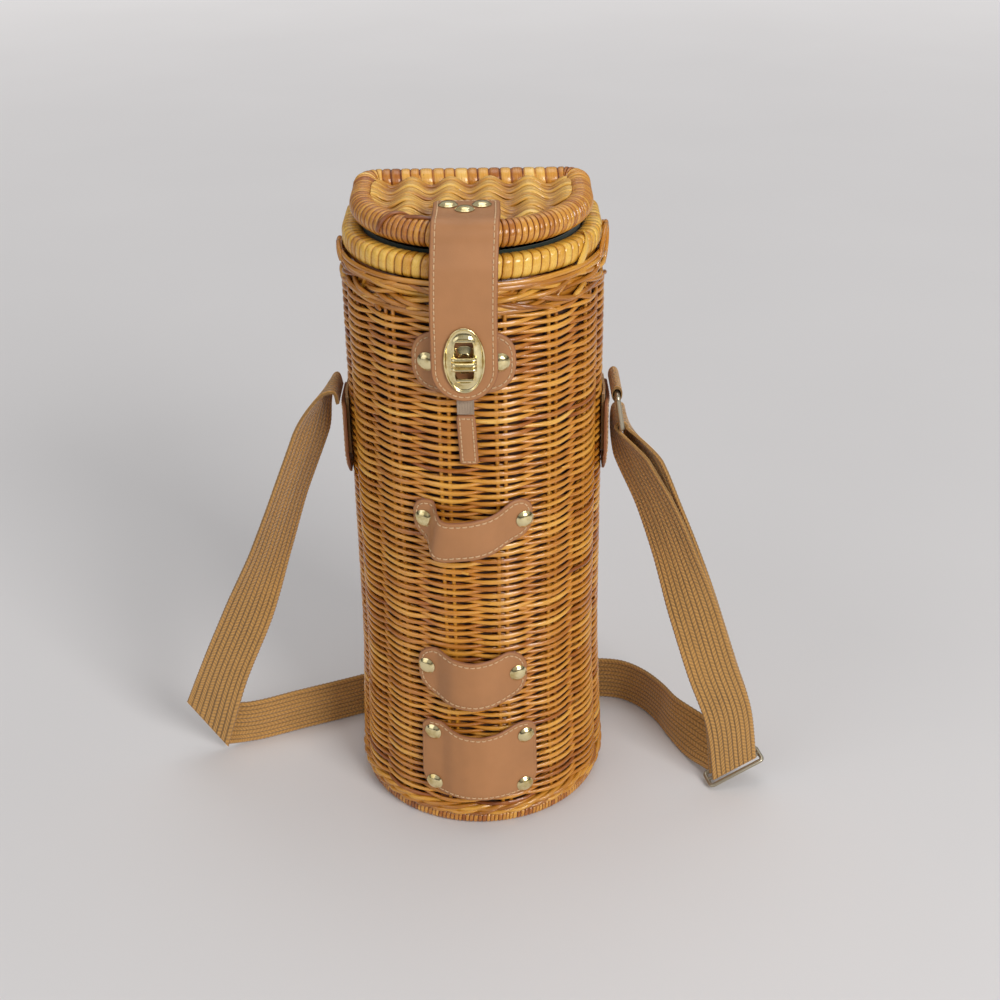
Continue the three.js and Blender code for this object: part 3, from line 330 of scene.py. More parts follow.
class Recipe:
    """A material under construction, with short names for the nodes that the finishes use."""

    def __init__(self, name: str) -> None:
        """Starts a material with its shader and its output."""
        self.material = bpy.data.materials.new(name)
        self.material.use_nodes = True
        self.tree = self.material.node_tree
        self.tree.nodes.clear()
        self.shader = self.tree.nodes.new("ShaderNodeBsdfPrincipled")
        output = self.tree.nodes.new("ShaderNodeOutputMaterial")
        self.tree.links.new(self.shader.outputs["BSDF"], output.inputs["Surface"])

    def set(self, name: str, value: object) -> None:
        """Sets one of the shader's sockets to a number, a colour or a node's output."""
        self.feed(self.shader.inputs[name], value)

    def feed(self, socket: bpy.types.NodeSocket, value: object) -> None:
        """Links a node's output to a socket, or writes a plain value there."""
        if isinstance(value, bpy.types.NodeSocket):
            self.tree.links.new(value, socket)
        else:
            socket.default_value = value

    def mark(self, name: str, part: str = "Fac") -> bpy.types.NodeSocket:
        """Reads one of the marks on the mesh, as a number or a vector."""
        node = self.tree.nodes.new("ShaderNodeAttribute")
        node.attribute_name = name
        return node.outputs[part]

    def part(self, vector: bpy.types.NodeSocket, axis: str) -> bpy.types.NodeSocket:
        """Takes X, Y or Z out of a vector."""
        node = self.tree.nodes.new("ShaderNodeSeparateXYZ")
        self.feed(node.inputs[0], vector)
        return node.outputs[axis]

    def place(self) -> bpy.types.NodeSocket:
        """Gives the place on the object, in metres."""
        return self.tree.nodes.new("ShaderNodeTexCoord").outputs["Object"]

    def math(self, kind: str, *values: object) -> bpy.types.NodeSocket:
        """Works out a sum, a product or another plain operation."""
        node = self.tree.nodes.new("ShaderNodeMath")
        node.operation = kind
        for socket, value in zip(node.inputs, values):
            self.feed(socket, value)
        return node.outputs[0]

    def stretch(self, vector: bpy.types.NodeSocket, scale: Triple) -> bpy.types.NodeSocket:
        """Scales a vector differently along each axis."""
        node = self.tree.nodes.new("ShaderNodeVectorMath")
        node.operation = "MULTIPLY"
        self.feed(node.inputs[0], vector)
        self.feed(node.inputs[1], scale)
        return node.outputs[0]

    def noise(self, vector: bpy.types.NodeSocket, scale: float, detail: float = 2.0,
              roughness: float = 0.5) -> bpy.types.NodeSocket:
        """Makes cloudy noise from 0 to 1.

        Args:
            vector: Where on the surface.
            scale: How fine it is.
            detail: How many finer layers it has.
            roughness: How strong the finer layers are.

        Returns:
            The noise value.
        """
        node = self.tree.nodes.new("ShaderNodeTexNoise")
        self.feed(node.inputs["Vector"], vector)
        node.inputs["Scale"].default_value = scale
        node.inputs["Detail"].default_value = detail
        node.inputs["Roughness"].default_value = roughness
        return node.outputs["Fac"]

    def cells(self, vector: bpy.types.NodeSocket, scale: float) -> bpy.types.NodeSocket:
        """Makes the distance to the nearest of many scattered points."""
        node = self.tree.nodes.new("ShaderNodeTexVoronoi")
        self.feed(node.inputs["Vector"], vector)
        node.inputs["Scale"].default_value = scale
        return node.outputs["Distance"]

    def ramp(self, factor: object, stops: list[tuple[float, Colour]]) -> bpy.types.NodeSocket:
        """Turns a number into a colour through stops.

        Args:
            factor: The number.
            stops: Places from 0 to 1, with their colours.

        Returns:
            The colour.
        """
        node = self.tree.nodes.new("ShaderNodeValToRGB")
        self.feed(node.inputs["Fac"], factor)
        elements = node.color_ramp.elements
        elements[0].position, elements[1].position = stops[0][0], stops[-1][0]
        elements[0].color = linear(stops[0][1])
        elements[-1].color = linear(stops[-1][1])
        for position, colour in stops[1:-1]:
            elements.new(position).color = linear(colour)
        return node.outputs["Color"]

    def blend(self, factor: object, first: object, second: object) -> bpy.types.NodeSocket:
        """Mixes two colours.

        Args:
            factor: How much of the second.
            first: The first colour.
            second: The second colour.

        Returns:
            The mixed colour.
        """
        node = self.tree.nodes.new("ShaderNodeMix")
        node.data_type = "RGBA"
        self.feed(node.inputs[0], factor)
        self.feed(node.inputs[6], first)
        self.feed(node.inputs[7], second)
        return node.outputs[2]

    def span(self, value: object, low: float, high: float, to_low: float = 0.0,
             to_high: float = 1.0) -> bpy.types.NodeSocket:
        """Maps a number from one range to another.

        Args:
            value: The number.
            low: The start of its range.
            high: The end of its range.
            to_low: What the start becomes.
            to_high: What the end becomes.

        Returns:
            The mapped number, kept inside the new range.
        """
        node = self.tree.nodes.new("ShaderNodeMapRange")
        for socket, number in zip(node.inputs, (value, low, high, to_low, to_high)):
            self.feed(socket, number)
        return node.outputs[0]

    def bump(self, height: object, distance: float, strength: float = 1.0) -> None:
        """Presses a height pattern into the surface, with its depth in metres."""
        node = self.tree.nodes.new("ShaderNodeBump")
        node.inputs["Distance"].default_value = distance
        node.inputs["Strength"].default_value = strength
        self.feed(node.inputs["Height"], height)
        self.set("Normal", node.outputs["Normal"])


@dataclass(frozen=True)
class Finish:
    """What a piece is made of. Each kind fills in its own recipe once."""

    name: str

    def mix(self, recipe: Recipe) -> None:
        """Sets the recipe's colour, gloss and relief."""
        raise NotImplementedError

    def material(self) -> bpy.types.Material:
        """Gives the material, made the first time that it is asked for."""
        known = bpy.data.materials.get(self.name)
        if known:
            return known
        recipe = Recipe(self.name)
        self.mix(recipe)
        return recipe.material


@dataclass(frozen=True)
class Cane(Finish):
    """Cane or willow, with fibres along each strand and stains that differ between strands."""

    shades: tuple[Colour, ...]
    gloss: float

    FIBRE = (0.1, 2.6, 7.3)
    STAIN = (0.035, 0.1, 3.7)
    SPECK = (0.5, 3.0, 5.1)

    def mix(self, recipe: Recipe) -> None:
        """Sets streaks along the fibre, stains, a varnish gloss and fine relief."""
        run = recipe.mark("run", "Vector")
        fibre = recipe.noise(recipe.stretch(run, self.FIBRE), 1.0, 3.0, 0.6)
        stain = recipe.noise(recipe.stretch(run, self.STAIN), 1.0, 2.0)
        mixed = recipe.math("MULTIPLY_ADD", fibre, 0.34, recipe.mark("tone"))
        mixed = recipe.math("MULTIPLY_ADD", stain, 0.5, mixed)
        mixed = recipe.math("SUBTRACT", mixed, 0.42)
        last = len(self.shades) - 1
        stops = [(i / last, shade) for i, shade in enumerate(self.shades)]
        colour = recipe.ramp(mixed, stops)
        specks = recipe.noise(recipe.stretch(run, self.SPECK), 1.0, 1.0)
        specks = recipe.span(specks, 0.7, 0.78)
        recipe.set("Base Color", recipe.blend(specks, colour, linear(self.shades[0])))
        recipe.set("Roughness", recipe.span(fibre, 0.3, 0.7, self.gloss - 0.08, self.gloss + 0.12))
        recipe.set("Coat Weight", 0.45)
        recipe.set("Coat Roughness", 0.1)
        recipe.bump(fibre, 0.0002, 0.8)


@dataclass(frozen=True)
class Leather(Finish):
    """Smooth coated leather with a fine grain and darker bevelled edges."""

    face: Colour
    edge: Colour

    def mix(self, recipe: Recipe) -> None:
        """Sets a nearly even face, edge dye where the tone falls, and a fine grain."""
        place = recipe.place()
        cloud = recipe.noise(place, 28.0, 3.0, 0.6)
        face = recipe.ramp(cloud, [(0.3, shaded(self.face, 0.95)), (0.7, shaded(self.face, 1.04))])
        recipe.set("Base Color", recipe.blend(recipe.mark("tone"), linear(self.edge), face))
        grain = recipe.cells(place, 1500.0)
        creases = recipe.noise(place, 420.0, 4.0, 0.7)
        height = recipe.math("MULTIPLY_ADD", creases, 0.8, grain)
        recipe.set("Roughness", recipe.span(creases, 0.3, 0.7, 0.42, 0.6))
        recipe.set("Specular IOR Level", 0.4)
        recipe.bump(height, 0.00006, 0.5)


@dataclass(frozen=True)
class Thread(Finish):
    """Twisted sewing thread."""

    shade: Colour

    def mix(self, recipe: Recipe) -> None:
        """Sets a slanting twist along each stitch."""
        run = recipe.mark("run", "Vector")
        slant = recipe.math("MULTIPLY_ADD", recipe.part(run, "X"), 5.0, recipe.part(run, "Y"))
        twist = recipe.math("SINE", recipe.math("MULTIPLY", slant, 2.4))
        stops = [(0, shaded(self.shade, 0.72)), (0.7, self.shade)]
        recipe.set("Base Color", recipe.ramp(recipe.span(twist, -1, 1), stops))
        recipe.set("Roughness", 0.75)
        recipe.bump(twist, 0.00008, 0.6)


@dataclass(frozen=True)
class Metal(Finish):
    """Brass, polished or aged, with wear and fine scratches."""

    bright: Colour
    dull: Colour
    gloss: float
    wear: float

    def mix(self, recipe: Recipe) -> None:
        """Sets tarnish in patches, a gloss that follows it and fine scratches."""
        place = recipe.place()
        patch = recipe.noise(place, 180.0, 4.0, 0.65)
        recipe.set("Base Color", recipe.ramp(recipe.span(patch, self.wear, self.wear + 0.25),
                                             [(0, self.dull), (1, self.bright)]))
        recipe.set("Metallic", 1.0)
        scratch = recipe.noise(recipe.stretch(place, (300, 2400, 900)), 1.0, 2.0)
        recipe.set("Roughness", recipe.span(patch, 0.2, 0.8, self.gloss + 0.16, self.gloss - 0.04))
        recipe.bump(scratch, 0.00003, 0.35)


@dataclass(frozen=True)
class Webbing(Finish):
    """Cotton webbing: cords of slanting ticks that lean one way, then the other."""

    shade: Colour
    column: float = 3.0
    tick: float = 2.4

    def mix(self, recipe: Recipe) -> None:
        """Sets the ticks, the dark lines between the columns and the fuzz of the yarn."""
        run = recipe.mark("run", "Vector")
        along = recipe.part(run, "X")
        across = recipe.math("DIVIDE", recipe.part(run, "Y"), self.column)
        inside = recipe.math("FRACT", across)
        which = recipe.math("FLOOR", across)
        lean = recipe.math("MULTIPLY_ADD", recipe.math("FLOORED_MODULO", which, 2.0), 2.0, -1.0)
        slant = recipe.math("MULTIPLY", recipe.math("MULTIPLY", inside, lean), self.column * 0.7)
        phase = recipe.math("DIVIDE", recipe.math("ADD", along, slant), self.tick)
        wave = recipe.math("SINE", recipe.math("MULTIPLY", phase, 2 * math.pi))
        ticks = recipe.span(wave, -0.7, 0.7)
        middle = recipe.math("ABSOLUTE", recipe.math("SUBTRACT", inside, 0.5))
        body = recipe.span(middle, 0.5, 0.26)
        height = recipe.math("MULTIPLY", recipe.math("MULTIPLY_ADD", ticks, 0.5, 0.5), body)
        fuzz = recipe.noise(recipe.place(), 1700.0, 3.0, 0.7)
        cloud = recipe.noise(recipe.place(), 40.0, 2.0)
        level = recipe.math("MULTIPLY_ADD", fuzz, 0.4, recipe.math("MULTIPLY", height, 0.75))
        level = recipe.math("MULTIPLY_ADD", cloud, 0.25, level)
        level = recipe.math("MULTIPLY_ADD", recipe.mark("tone"), 0.4, recipe.math("SUBTRACT", level, 0.38))
        stops = [(0, shaded(self.shade, 0.5)), (0.5, self.shade), (1, shaded(self.shade, 1.18))]
        recipe.set("Base Color", recipe.ramp(level, stops))
        recipe.set("Roughness", 0.88)
        recipe.set("Sheen Weight", 0.25)
        recipe.set("Sheen Roughness", 0.5)
        recipe.bump(recipe.math("MULTIPLY_ADD", fuzz, 0.3, height), 0.0005, 1.0)


@dataclass(frozen=True)
class Cloth(Finish):
    """Plain woven cloth, such as the lining and the grey ribbon."""

    shade: Colour
    pitch: float
    # The rear colour shows where the tone is 0; on the lining it is painted shade.
    rear: Colour

    def mix(self, recipe: Recipe) -> None:
        """Sets crossing threads, slight changes of shade and a colour for the rear; on the lining the rear
        colour is painted shade.
        """
        run = recipe.mark("run", "Vector")
        turn = 2 * math.pi / self.pitch
        warp = recipe.math("SINE", recipe.math("MULTIPLY", recipe.part(run, "X"), turn))
        weft = recipe.math("SINE", recipe.math("MULTIPLY", recipe.part(run, "Y"), turn))
        weave = recipe.math("MULTIPLY", warp, weft)
        cloud = recipe.noise(recipe.place(), 60.0, 3.0)
        level = recipe.math("MULTIPLY_ADD", weave, 0.2, cloud)
        face = recipe.ramp(level, [(0.2, shaded(self.shade, 0.7)), (0.8, shaded(self.shade, 1.25))])
        # Where the tone is 0 the rear colour is used; on the lining bag it is painted shade, the dark brown
        # of shadowed cane seen through the weave.
        recipe.set("Base Color", recipe.blend(recipe.mark("tone"), linear(self.rear), face))
        recipe.set("Roughness", 0.92)
        recipe.set("Sheen Weight", 0.2)
        recipe.bump(weave, 0.00012, 0.6)


@dataclass(frozen=True)
class Board(Finish):
    """Bare pale board with straight grain."""

    shade: Colour

    def mix(self, recipe: Recipe) -> None:
        """Sets the grain as stretched noise."""
        grain = recipe.noise(recipe.stretch(recipe.place(), (60, 900, 900)), 1.0, 4.0, 0.6)
        recipe.set("Base Color", recipe.ramp(grain, [(0.3, shaded(self.shade, 0.75)), (0.7, self.shade)]))
        recipe.set("Roughness", 0.7)
        recipe.bump(grain, 0.0001, 0.5)


@dataclass(frozen=True)
class Floor(Finish):
    """The matt surface that the basket stands on, evenly pale into the distance."""

    shade: Colour

    def mix(self, recipe: Recipe) -> None:
        """Sets an almost even matt colour, kept pale for the camera where no lamp reaches."""
        place = recipe.place()
        cloud = recipe.noise(place, 3.0, 2.0)
        colour = recipe.ramp(cloud, [(0.3, shaded(self.shade, 0.99)), (0.7, self.shade)])
        recipe.set("Base Color", colour)
        recipe.set("Roughness", 0.6)
        recipe.set("Specular IOR Level", 0.2)
        reach = recipe.tree.nodes.new("ShaderNodeVectorMath")
        reach.operation = "LENGTH"
        recipe.feed(reach.inputs[0], place)
        far = recipe.span(reach.outputs["Value"], 0.3, 3.2, 0.0, 0.6)
        seen = recipe.tree.nodes.new("ShaderNodeLightPath").outputs["Is Camera Ray"]
        recipe.set("Emission Color", colour)
        recipe.set("Emission Strength", recipe.math("MULTIPLY", far, seen))


WEAVER = Cane("weaver_cane", (
    (96, 44, 10), (154, 84, 22), (200, 130, 42), (222, 160, 64), (238, 194, 104)), 0.18)
FIELD = Cane("field_cane", (
    (100, 54, 16), (162, 100, 34), (206, 150, 58), (226, 178, 82), (242, 208, 128)), 0.14)
WRAP = Cane("wrapping_cane", (
    (110, 54, 14), (166, 96, 30), (206, 142, 52), (226, 172, 78), (240, 204, 124)), 0.22)
PALE_WRAP = Cane("pale_wrapping_cane", (
    (120, 66, 14), (192, 126, 36), (222, 166, 60), (234, 188, 84), (244, 212, 128)), 0.24)
STAKE = Cane("stake_willow", (
    (88, 42, 8), (144, 82, 18), (190, 124, 36), (216, 156, 56), (234, 188, 96)), 0.18)
TAN = Leather("tan_leather", (169, 117, 74), (134, 82, 50))
STITCH = Thread("cream_thread", (226, 190, 146))
BRASS = Metal("pale_brass", (238, 222, 172), (200, 174, 108), 0.13, 0.3)
AGED = Metal("aged_brass", (86, 72, 42), (44, 36, 22), 0.26, 0.35)
KHAKI = Webbing("khaki_webbing", (171, 126, 65))
# The lining's brown rear colour is painted shade for the gaps of the weave.
GREEN = Cloth("green_lining", (34, 46, 36), 0.9, (66, 36, 14))
RIBBON = Cloth("grey_ribbon", (160, 138, 116), 0.7, (160, 138, 116))
BASE = Board("bare_board", (190, 146, 92))
PALE = Floor("pale_floor", (216, 213, 212))


# The basket's shape

@dataclass(frozen=True)
class Outline:
    """A closed D-shaped line: round front, straight sides, rounded corners and flat back."""

    half: float
    front: float
    back: float
    corner: float

    def trace(self) -> tuple[Array, Array, Array]:
        """Walks it once from the middle of the front towards the right.

        Returns:
            The points, the outward directions and the distance walked at each point.
        """
        turn = np.linspace(0, math.pi / 2, 181)
        points = [spread(self.half * np.sin(turn), -self.front * np.cos(turn))]
        outward = [unit(spread(self.front * np.sin(turn), -self.half * np.cos(turn)))]
        points.append(np.array([[self.half, self.back - self.corner]]))
        outward.append(np.array([[1.0, 0.0]]))
        bend = np.linspace(0, math.pi / 2, 25)[1:]
        around = spread(np.cos(bend), np.sin(bend))
        middle = np.array([self.half - self.corner, self.back - self.corner])
        points.append(middle + self.corner * around)
        outward.append(around)
        points.append(np.array([[0.0, self.back]]))
        outward.append(np.array([[0.0, 1.0]]))
        right = np.concatenate(points)
        facing = np.concatenate(outward)
        mirror = np.array([-1.0, 1.0])
        line = np.concatenate([right, right[-2::-1] * mirror])
        normals = np.concatenate([facing, facing[-2::-1] * mirror])
        return line, normals, travel(line)

    def length(self) -> float:
        """Gives the distance once round."""
        return float(self.trace()[2][-1])

    def growth(self, z: Array | float) -> Array | float:
        """Gives how far the line moves out at a height, which a plain outline doesn't."""
        return 0.0 * z

    def at(self, distance: Array, off: Array | float, z: Array | float) -> tuple[Array, Array]:
        """Finds points at distances from the middle of the front.

        Args:
            distance: Millimetres walked towards the right.
            off: How far each point stands outside the line.
            z: The height of each point.

        Returns:
            The points and their outward directions.
        """
        line, normals, walked = self.trace()
        place = np.mod(distance, walked[-1])
        flat = [np.interp(place, walked, line[:, k]) for k in range(2)]
        facing = unit(np.stack([np.interp(place, walked, normals[:, k]) for k in range(2)], axis=-1))
        points = spread(flat[0] + facing[..., 0] * off, flat[1] + facing[..., 1] * off, z)
        return points, spread(facing[..., 0], facing[..., 1], 0.0)


@dataclass(frozen=True)
class Shell(Outline):
    """The basket's wall: an outline that flares out towards its foot."""

    half: float = 71.5
    front: float = 75.0
    back: float = 39.0
    corner: float = 13.0
    flare: float = 3.5
    flare_height: float = 110.0
    waling_bottom: float = 7.1
    wall_bottom: float = 13.8
    wall_top: float = 317.8
    border_top: float = 335.5
    pairs: int = 14
    first_pair: float = 14.96
    apart: float = 2.6

    def spacing(self) -> float:
        """Gives the distance between two pairs of stakes."""
        return self.length() / self.pairs

    def growth(self, z: Array | float) -> Array:
        """Gives how far the wall stands out at a height."""
        share = np.clip(np.asarray(z, float) / self.flare_height, 0, 1)
        return self.flare * (1 + np.cos(math.pi * share)) / 2

    def wall(self, distance: Array, off: Array | float, z: Array | float) -> tuple[Array, Array]:
        """Finds points at distances round the flared wall, with their outward directions."""
        return self.at(distance, self.growth(z) + off, z)

    def on_front(self, around: Array, z: Array, off: Array | float) -> Array:
        """Finds points on the round front, by their distance to the right of its middle."""
        angle = np.asarray(around) / self.half
        grow = self.growth(z) + off
        return spread((self.half + grow) * np.sin(angle), -(self.front + grow) * np.cos(angle), z)

    def front_facing(self, around: float) -> Array:
        """Gives the outward direction of the front at a distance to the right of its middle."""
        angle = around / self.half
        return unit(np.array([math.sin(angle) * self.front, -math.cos(angle) * self.half, 0.0]))

    def on_side(self, side: int, y: Array, z: Array, off: Array | float) -> Array:
        """Finds points on the left (-1) or the right (1) wall."""
        grow = self.growth(z) + off
        reach = np.clip(np.minimum(y, 0) / (self.front + grow), -1, 1)
        return spread(side * (self.half + grow) * np.sqrt(1 - reach ** 2), y, z)


@dataclass
class WrappedRim:
    """A rim bound closely with cane, one turn beside the other."""

    outline: Outline
    off: float
    height: float
    half_width: float
    half_height: float
    groove: float = 0.55
    lean: float = 0.8
    square: float = 2.0
    sides: int = 20
    floor: float | None = None
    back_lift: float = 0.0
    shares: tuple[float, ...] = (0.0, 0.1, 0.3, 0.55, 0.8)
    relief: tuple[float, ...] = (1.0, 0.28, 0.02, 0.0, 0.12)

    def wind(self, skin: Skin, turn_width: Callable[[float, np.random.Generator], float],
             turn_tone: Callable[[float, np.random.Generator], float],
             rng: np.random.Generator) -> None:
        """Winds the cane once round the rim.

        Args:
            skin: The piece that the turns go into.
            turn_width: Gives a turn's width for its place.
            turn_tone: Gives a turn's tone for its place.
            rng: The seeded source of random numbers.
        """
        total = self.outline.length()
        starts = [0.0]
        while starts[-1] < total:
            starts.append(starts[-1] + turn_width(starts[-1], rng))
        starts = np.array(starts) * total / starts[-1]
        distance, relief, tone, across, number = [], [], [], [], []
        for i, (start, end) in enumerate(zip(starts[:-1], starts[1:])):
            shade = turn_tone(float(start), rng)
            for share, dip in zip(self.shares, self.relief):
                distance.append(start + share * (end - start))
                relief.append(dip * self.groove)
                # The groove between two turns is darkened: painted shade.
                tone.append(shade - 0.55 * (dip > 0.9))
                across.append(share * (end - start))
                number.append(i)
        distance, relief = np.array(distance)[:, None], np.array(relief)[:, None]
        angle = (np.arange(self.sides) + 0.5) * 2 * math.pi / self.sides
        out, up = squared(angle, 2 / self.square)
        lean = self.lean * np.sin(angle)
        off = self.off + out * (self.half_width - relief)
        z = self.height + up * (self.half_height - relief)
        if self.floor is not None:
            z = np.maximum(z, self.floor)
        points, _ = self.outline.at(distance + lean, off + self.outline.growth(self.height), z)
        points[..., 2] += self.back_lift * ease(np.clip((points[..., 1] - 15) / 9, 0, 1))
        girth = angle * (self.half_width + self.half_height) / 2
        run = spread(girth[None], np.array(across)[:, None], np.array(number)[:, None] * 1.0)
        faces = grid_faces(len(distance), self.sides, True, True)
        skin.add(points.reshape(-1, 3), faces, np.repeat(tone, self.sides), run.reshape(-1, 3))


@dataclass
class Weave:
    """The fine weave of the wall, its stakes and the loose border at the top."""

    shell: Shell
    row_pitch: float = 2.2
    depth: float = -3.0
    swing: float = 1.9
    half_height: float = 1.06
    half_depth: float = 1.05
    steps: int = 8
    stake_radius: float = 1.1
    border_strand: float = 1.38
    cut_ends: int = 46

    def weavers(self) -> bpy.types.Object:
        """Weaves the rows, each in front of every other pair of stakes."""
        shell = self.shell
        rng = np.random.default_rng(11)
        skin = Skin()
        spacing = shell.spacing()
        count = shell.pairs * self.steps
        distance = shell.first_pair + np.arange(count) * spacing / self.steps
        phase = np.arange(count) * math.pi / self.steps
        rows = round((shell.wall_top - shell.wall_bottom) / self.row_pitch)
        for row in range(rows):
            z = shell.wall_bottom + self.row_pitch * (row + 0.5)
            wave = np.cos(phase + math.pi * row)
            z = z + 0.34 * smooth_noise(rng, count, 41) - 0.5 * wave
            bulge = np.abs(wave) ** 0.8
            off = self.depth + self.swing * np.sign(wave) * bulge
            off = off + 0.12 * smooth_noise(rng, count, 31)
            path, outward = shell.wall(distance, np.minimum(off, -1.06), z)
            # The wave term is painted light and shade: each row is paler where it passes in front of the
            # stakes and darker where it goes behind them.
            tone = 0.46 + 0.11 * rng.uniform(-1, 1) + 0.16 * smooth_noise(rng, count, 13) + 0.07 * wave
            cut = rng.integers(0, count, 2)
            tone = tone + np.where((np.arange(count) > cut.min()) & (np.arange(count) < cut.max()),
                                   rng.uniform(-0.15, 0.15), 0.0)
            height = self.half_height + 0.36 * bulge + 0.1 * smooth_noise(rng, count, 15)
            height = height * rng.uniform(0.87, 1.06)
            skin.tube(path, outward, height, self.half_depth, tone, row * 1.7, 8, True)
        self._ends(skin, rng)
        return skin.build("woven_wall", WEAVER, "basket", "cane", ("basket_wall",))

    def _ends(self, skin: Skin, rng: np.random.Generator) -> None:
        """Adds the cut ends of weavers that stick out beside a stake."""
        shell = self.shell
        spacing = shell.spacing()
        share = np.linspace(0, 1, 6)
        for _ in range(self.cut_ends):
            pair = rng.integers(0, shell.pairs)
            z = rng.uniform(20, 312)
            side = rng.choice([-1, 1])
            start = shell.first_pair + pair * spacing + side * rng.uniform(4, 9)
            distance = start + side * share * rng.uniform(4, 8)
            path, outward = shell.wall(distance, -1.6 + 1.1 * share, z + 1.2 * share * rng.uniform(-1, 1))
            skin.tube(path, outward, 0.75, 0.55, rng.uniform(0.2, 0.7), 900 + z, 7)

    def stakes(self) -> bpy.types.Object:
        """Stands the pairs of stakes and folds them over into the border."""
        shell = self.shell
        rng = np.random.default_rng(23)
        skin = Skin()
        spacing = shell.spacing()
        height = np.linspace(shell.wall_bottom + CLEARANCE, shell.wall_top + 3, 26)
        for pair in range(shell.pairs):
            for side in (-1, 1):
                place = shell.first_pair + pair * spacing + side * shell.apart * rng.uniform(0.85, 1.05)
                distance = place + 0.35 * smooth_noise(rng, len(height), 7, False)
                path, outward = shell.wall(distance, self.depth, height)
                skin.tube(path, outward, self.stake_radius, self.stake_radius,
                          rng.uniform(0.3, 0.58), 300 + pair * 2 + side, 8)
        for pair in range(shell.pairs):
            for side in (-1, 1):
                self._fold(skin, shell.first_pair + pair * spacing + side * shell.apart, 1, rng)
            self._fold(skin, shell.first_pair + pair * spacing + spacing / 2, -1, rng)
        self._bands(skin, rng)
        self._arches(skin)
        return skin.build("stakes_and_border", STAKE, "basket", "dark_cane", ("stakes_and_top_border",))

    def _bands(self, skin: Skin, rng: np.random.Generator) -> None:
        """Lays level strands behind the folded stakes and along both edges of the border."""
        shell = self.shell
        count = 260
        distance = np.arange(count) * shell.length() / count
        rows = [(z, -5.4, 1.65) for z in (319.6, 322.6, 325.6, 328.6, 331.6, 334.0)]
        rows += [(335.2, -1.1, 1.4), (332.6, -0.7, 1.4), (319.5, -2.3, 1.5)]
        for k, (z, off, girth) in enumerate(rows):
            height = z + (0.3 if z > 335 else 0.8) * smooth_noise(rng, count, 17)
            path, outward = shell.wall(distance, off + 0.4 * smooth_noise(rng, count, 21), height)
            # Rows far behind the folds (off below -5) are darkened: painted shade.
            tone = rng.uniform(0.4, 0.6) + 0.2 * smooth_noise(rng, count, 11) - 0.35 * (off < -5)
            skin.tube(path, outward, girth, girth * 0.8, tone, 600 + k, 8, True)

    def _arches(self, skin: Skin) -> None:
        """Bends a few loose strands up beside the mouth rim at the two sides."""
        share = np.linspace(-1, 1, 34)
        arches = ((104, 20, 19.0, 0.2), (121, 17, 15.5, 0.9), (135, 15, 11.0, 0.3), (-106, 18, 11.5, 0.3),
                  (-122, 16, 8.5, 0.8))
        for k, (middle, reach, rise, off) in enumerate(arches):
            height = 326.5 + rise * (1 - share ** 2) + 1.5 * share
            path, outward = self.shell.wall(middle + reach * share, off - 1.6 * share ** 4, height)
            skin.tube(path, outward, 1.2, 1.2, 0.5 + 0.1 * (k % 3), 640 + k, 8)

    def _fold(self, skin: Skin, start: float, way: int, rng: np.random.Generator) -> None:
        """Lays one folded stake along the border, in front of some and behind others.

        Args:
            skin: The piece that the strand goes into.
            start: Its distance round the wall where it leaves the weave.
            way: 1 where it sinks towards the right, -1 where it rises.
            rng: The seeded source of random numbers.
        """
        shell = self.shell
        low = shell.wall_top + self.border_strand + 0.4
        high = shell.border_top - self.border_strand
        share = np.linspace(0, 1, 40)
        reach = rng.uniform(85, 112)
        lift = ease(np.clip(share / 0.16, 0, 1))
        drop = np.clip((share - 0.12) / 0.88, 0, 1) ** 1.15
        top = high - rng.uniform(0, 2.2)
        if way > 0:
            z = low + (top - low) * lift - (top - low + rng.uniform(-1.5, 5.0)) * drop
        else:
            z = low + (top - low) * (0.12 + 0.88 * share ** 0.9)
        turns = rng.uniform(1.7, 2.2)
        wave = np.cos(2 * math.pi * turns * share + rng.uniform(-0.5, 0.5) + (math.pi if way > 0 else 0))
        off = np.maximum(-2.7 + 2.2 * wave, np.interp(z, [316.6, 319.8], [0.1, -6.0]))
        distance = start + (share - 0.02) * reach
        path, outward = shell.wall(distance, off, z)
        girth = self.border_strand * rng.uniform(0.86, 1.08)
        taper = np.clip(np.minimum(share, 1 - share) / 0.02, 0.55, 1)
        tone = rng.uniform(0.3, 0.72) + 0.14 * smooth_noise(rng, len(share), 7, False)
        skin.tube(path, outward, girth * taper, girth * taper, tone, 400 + start, 8)


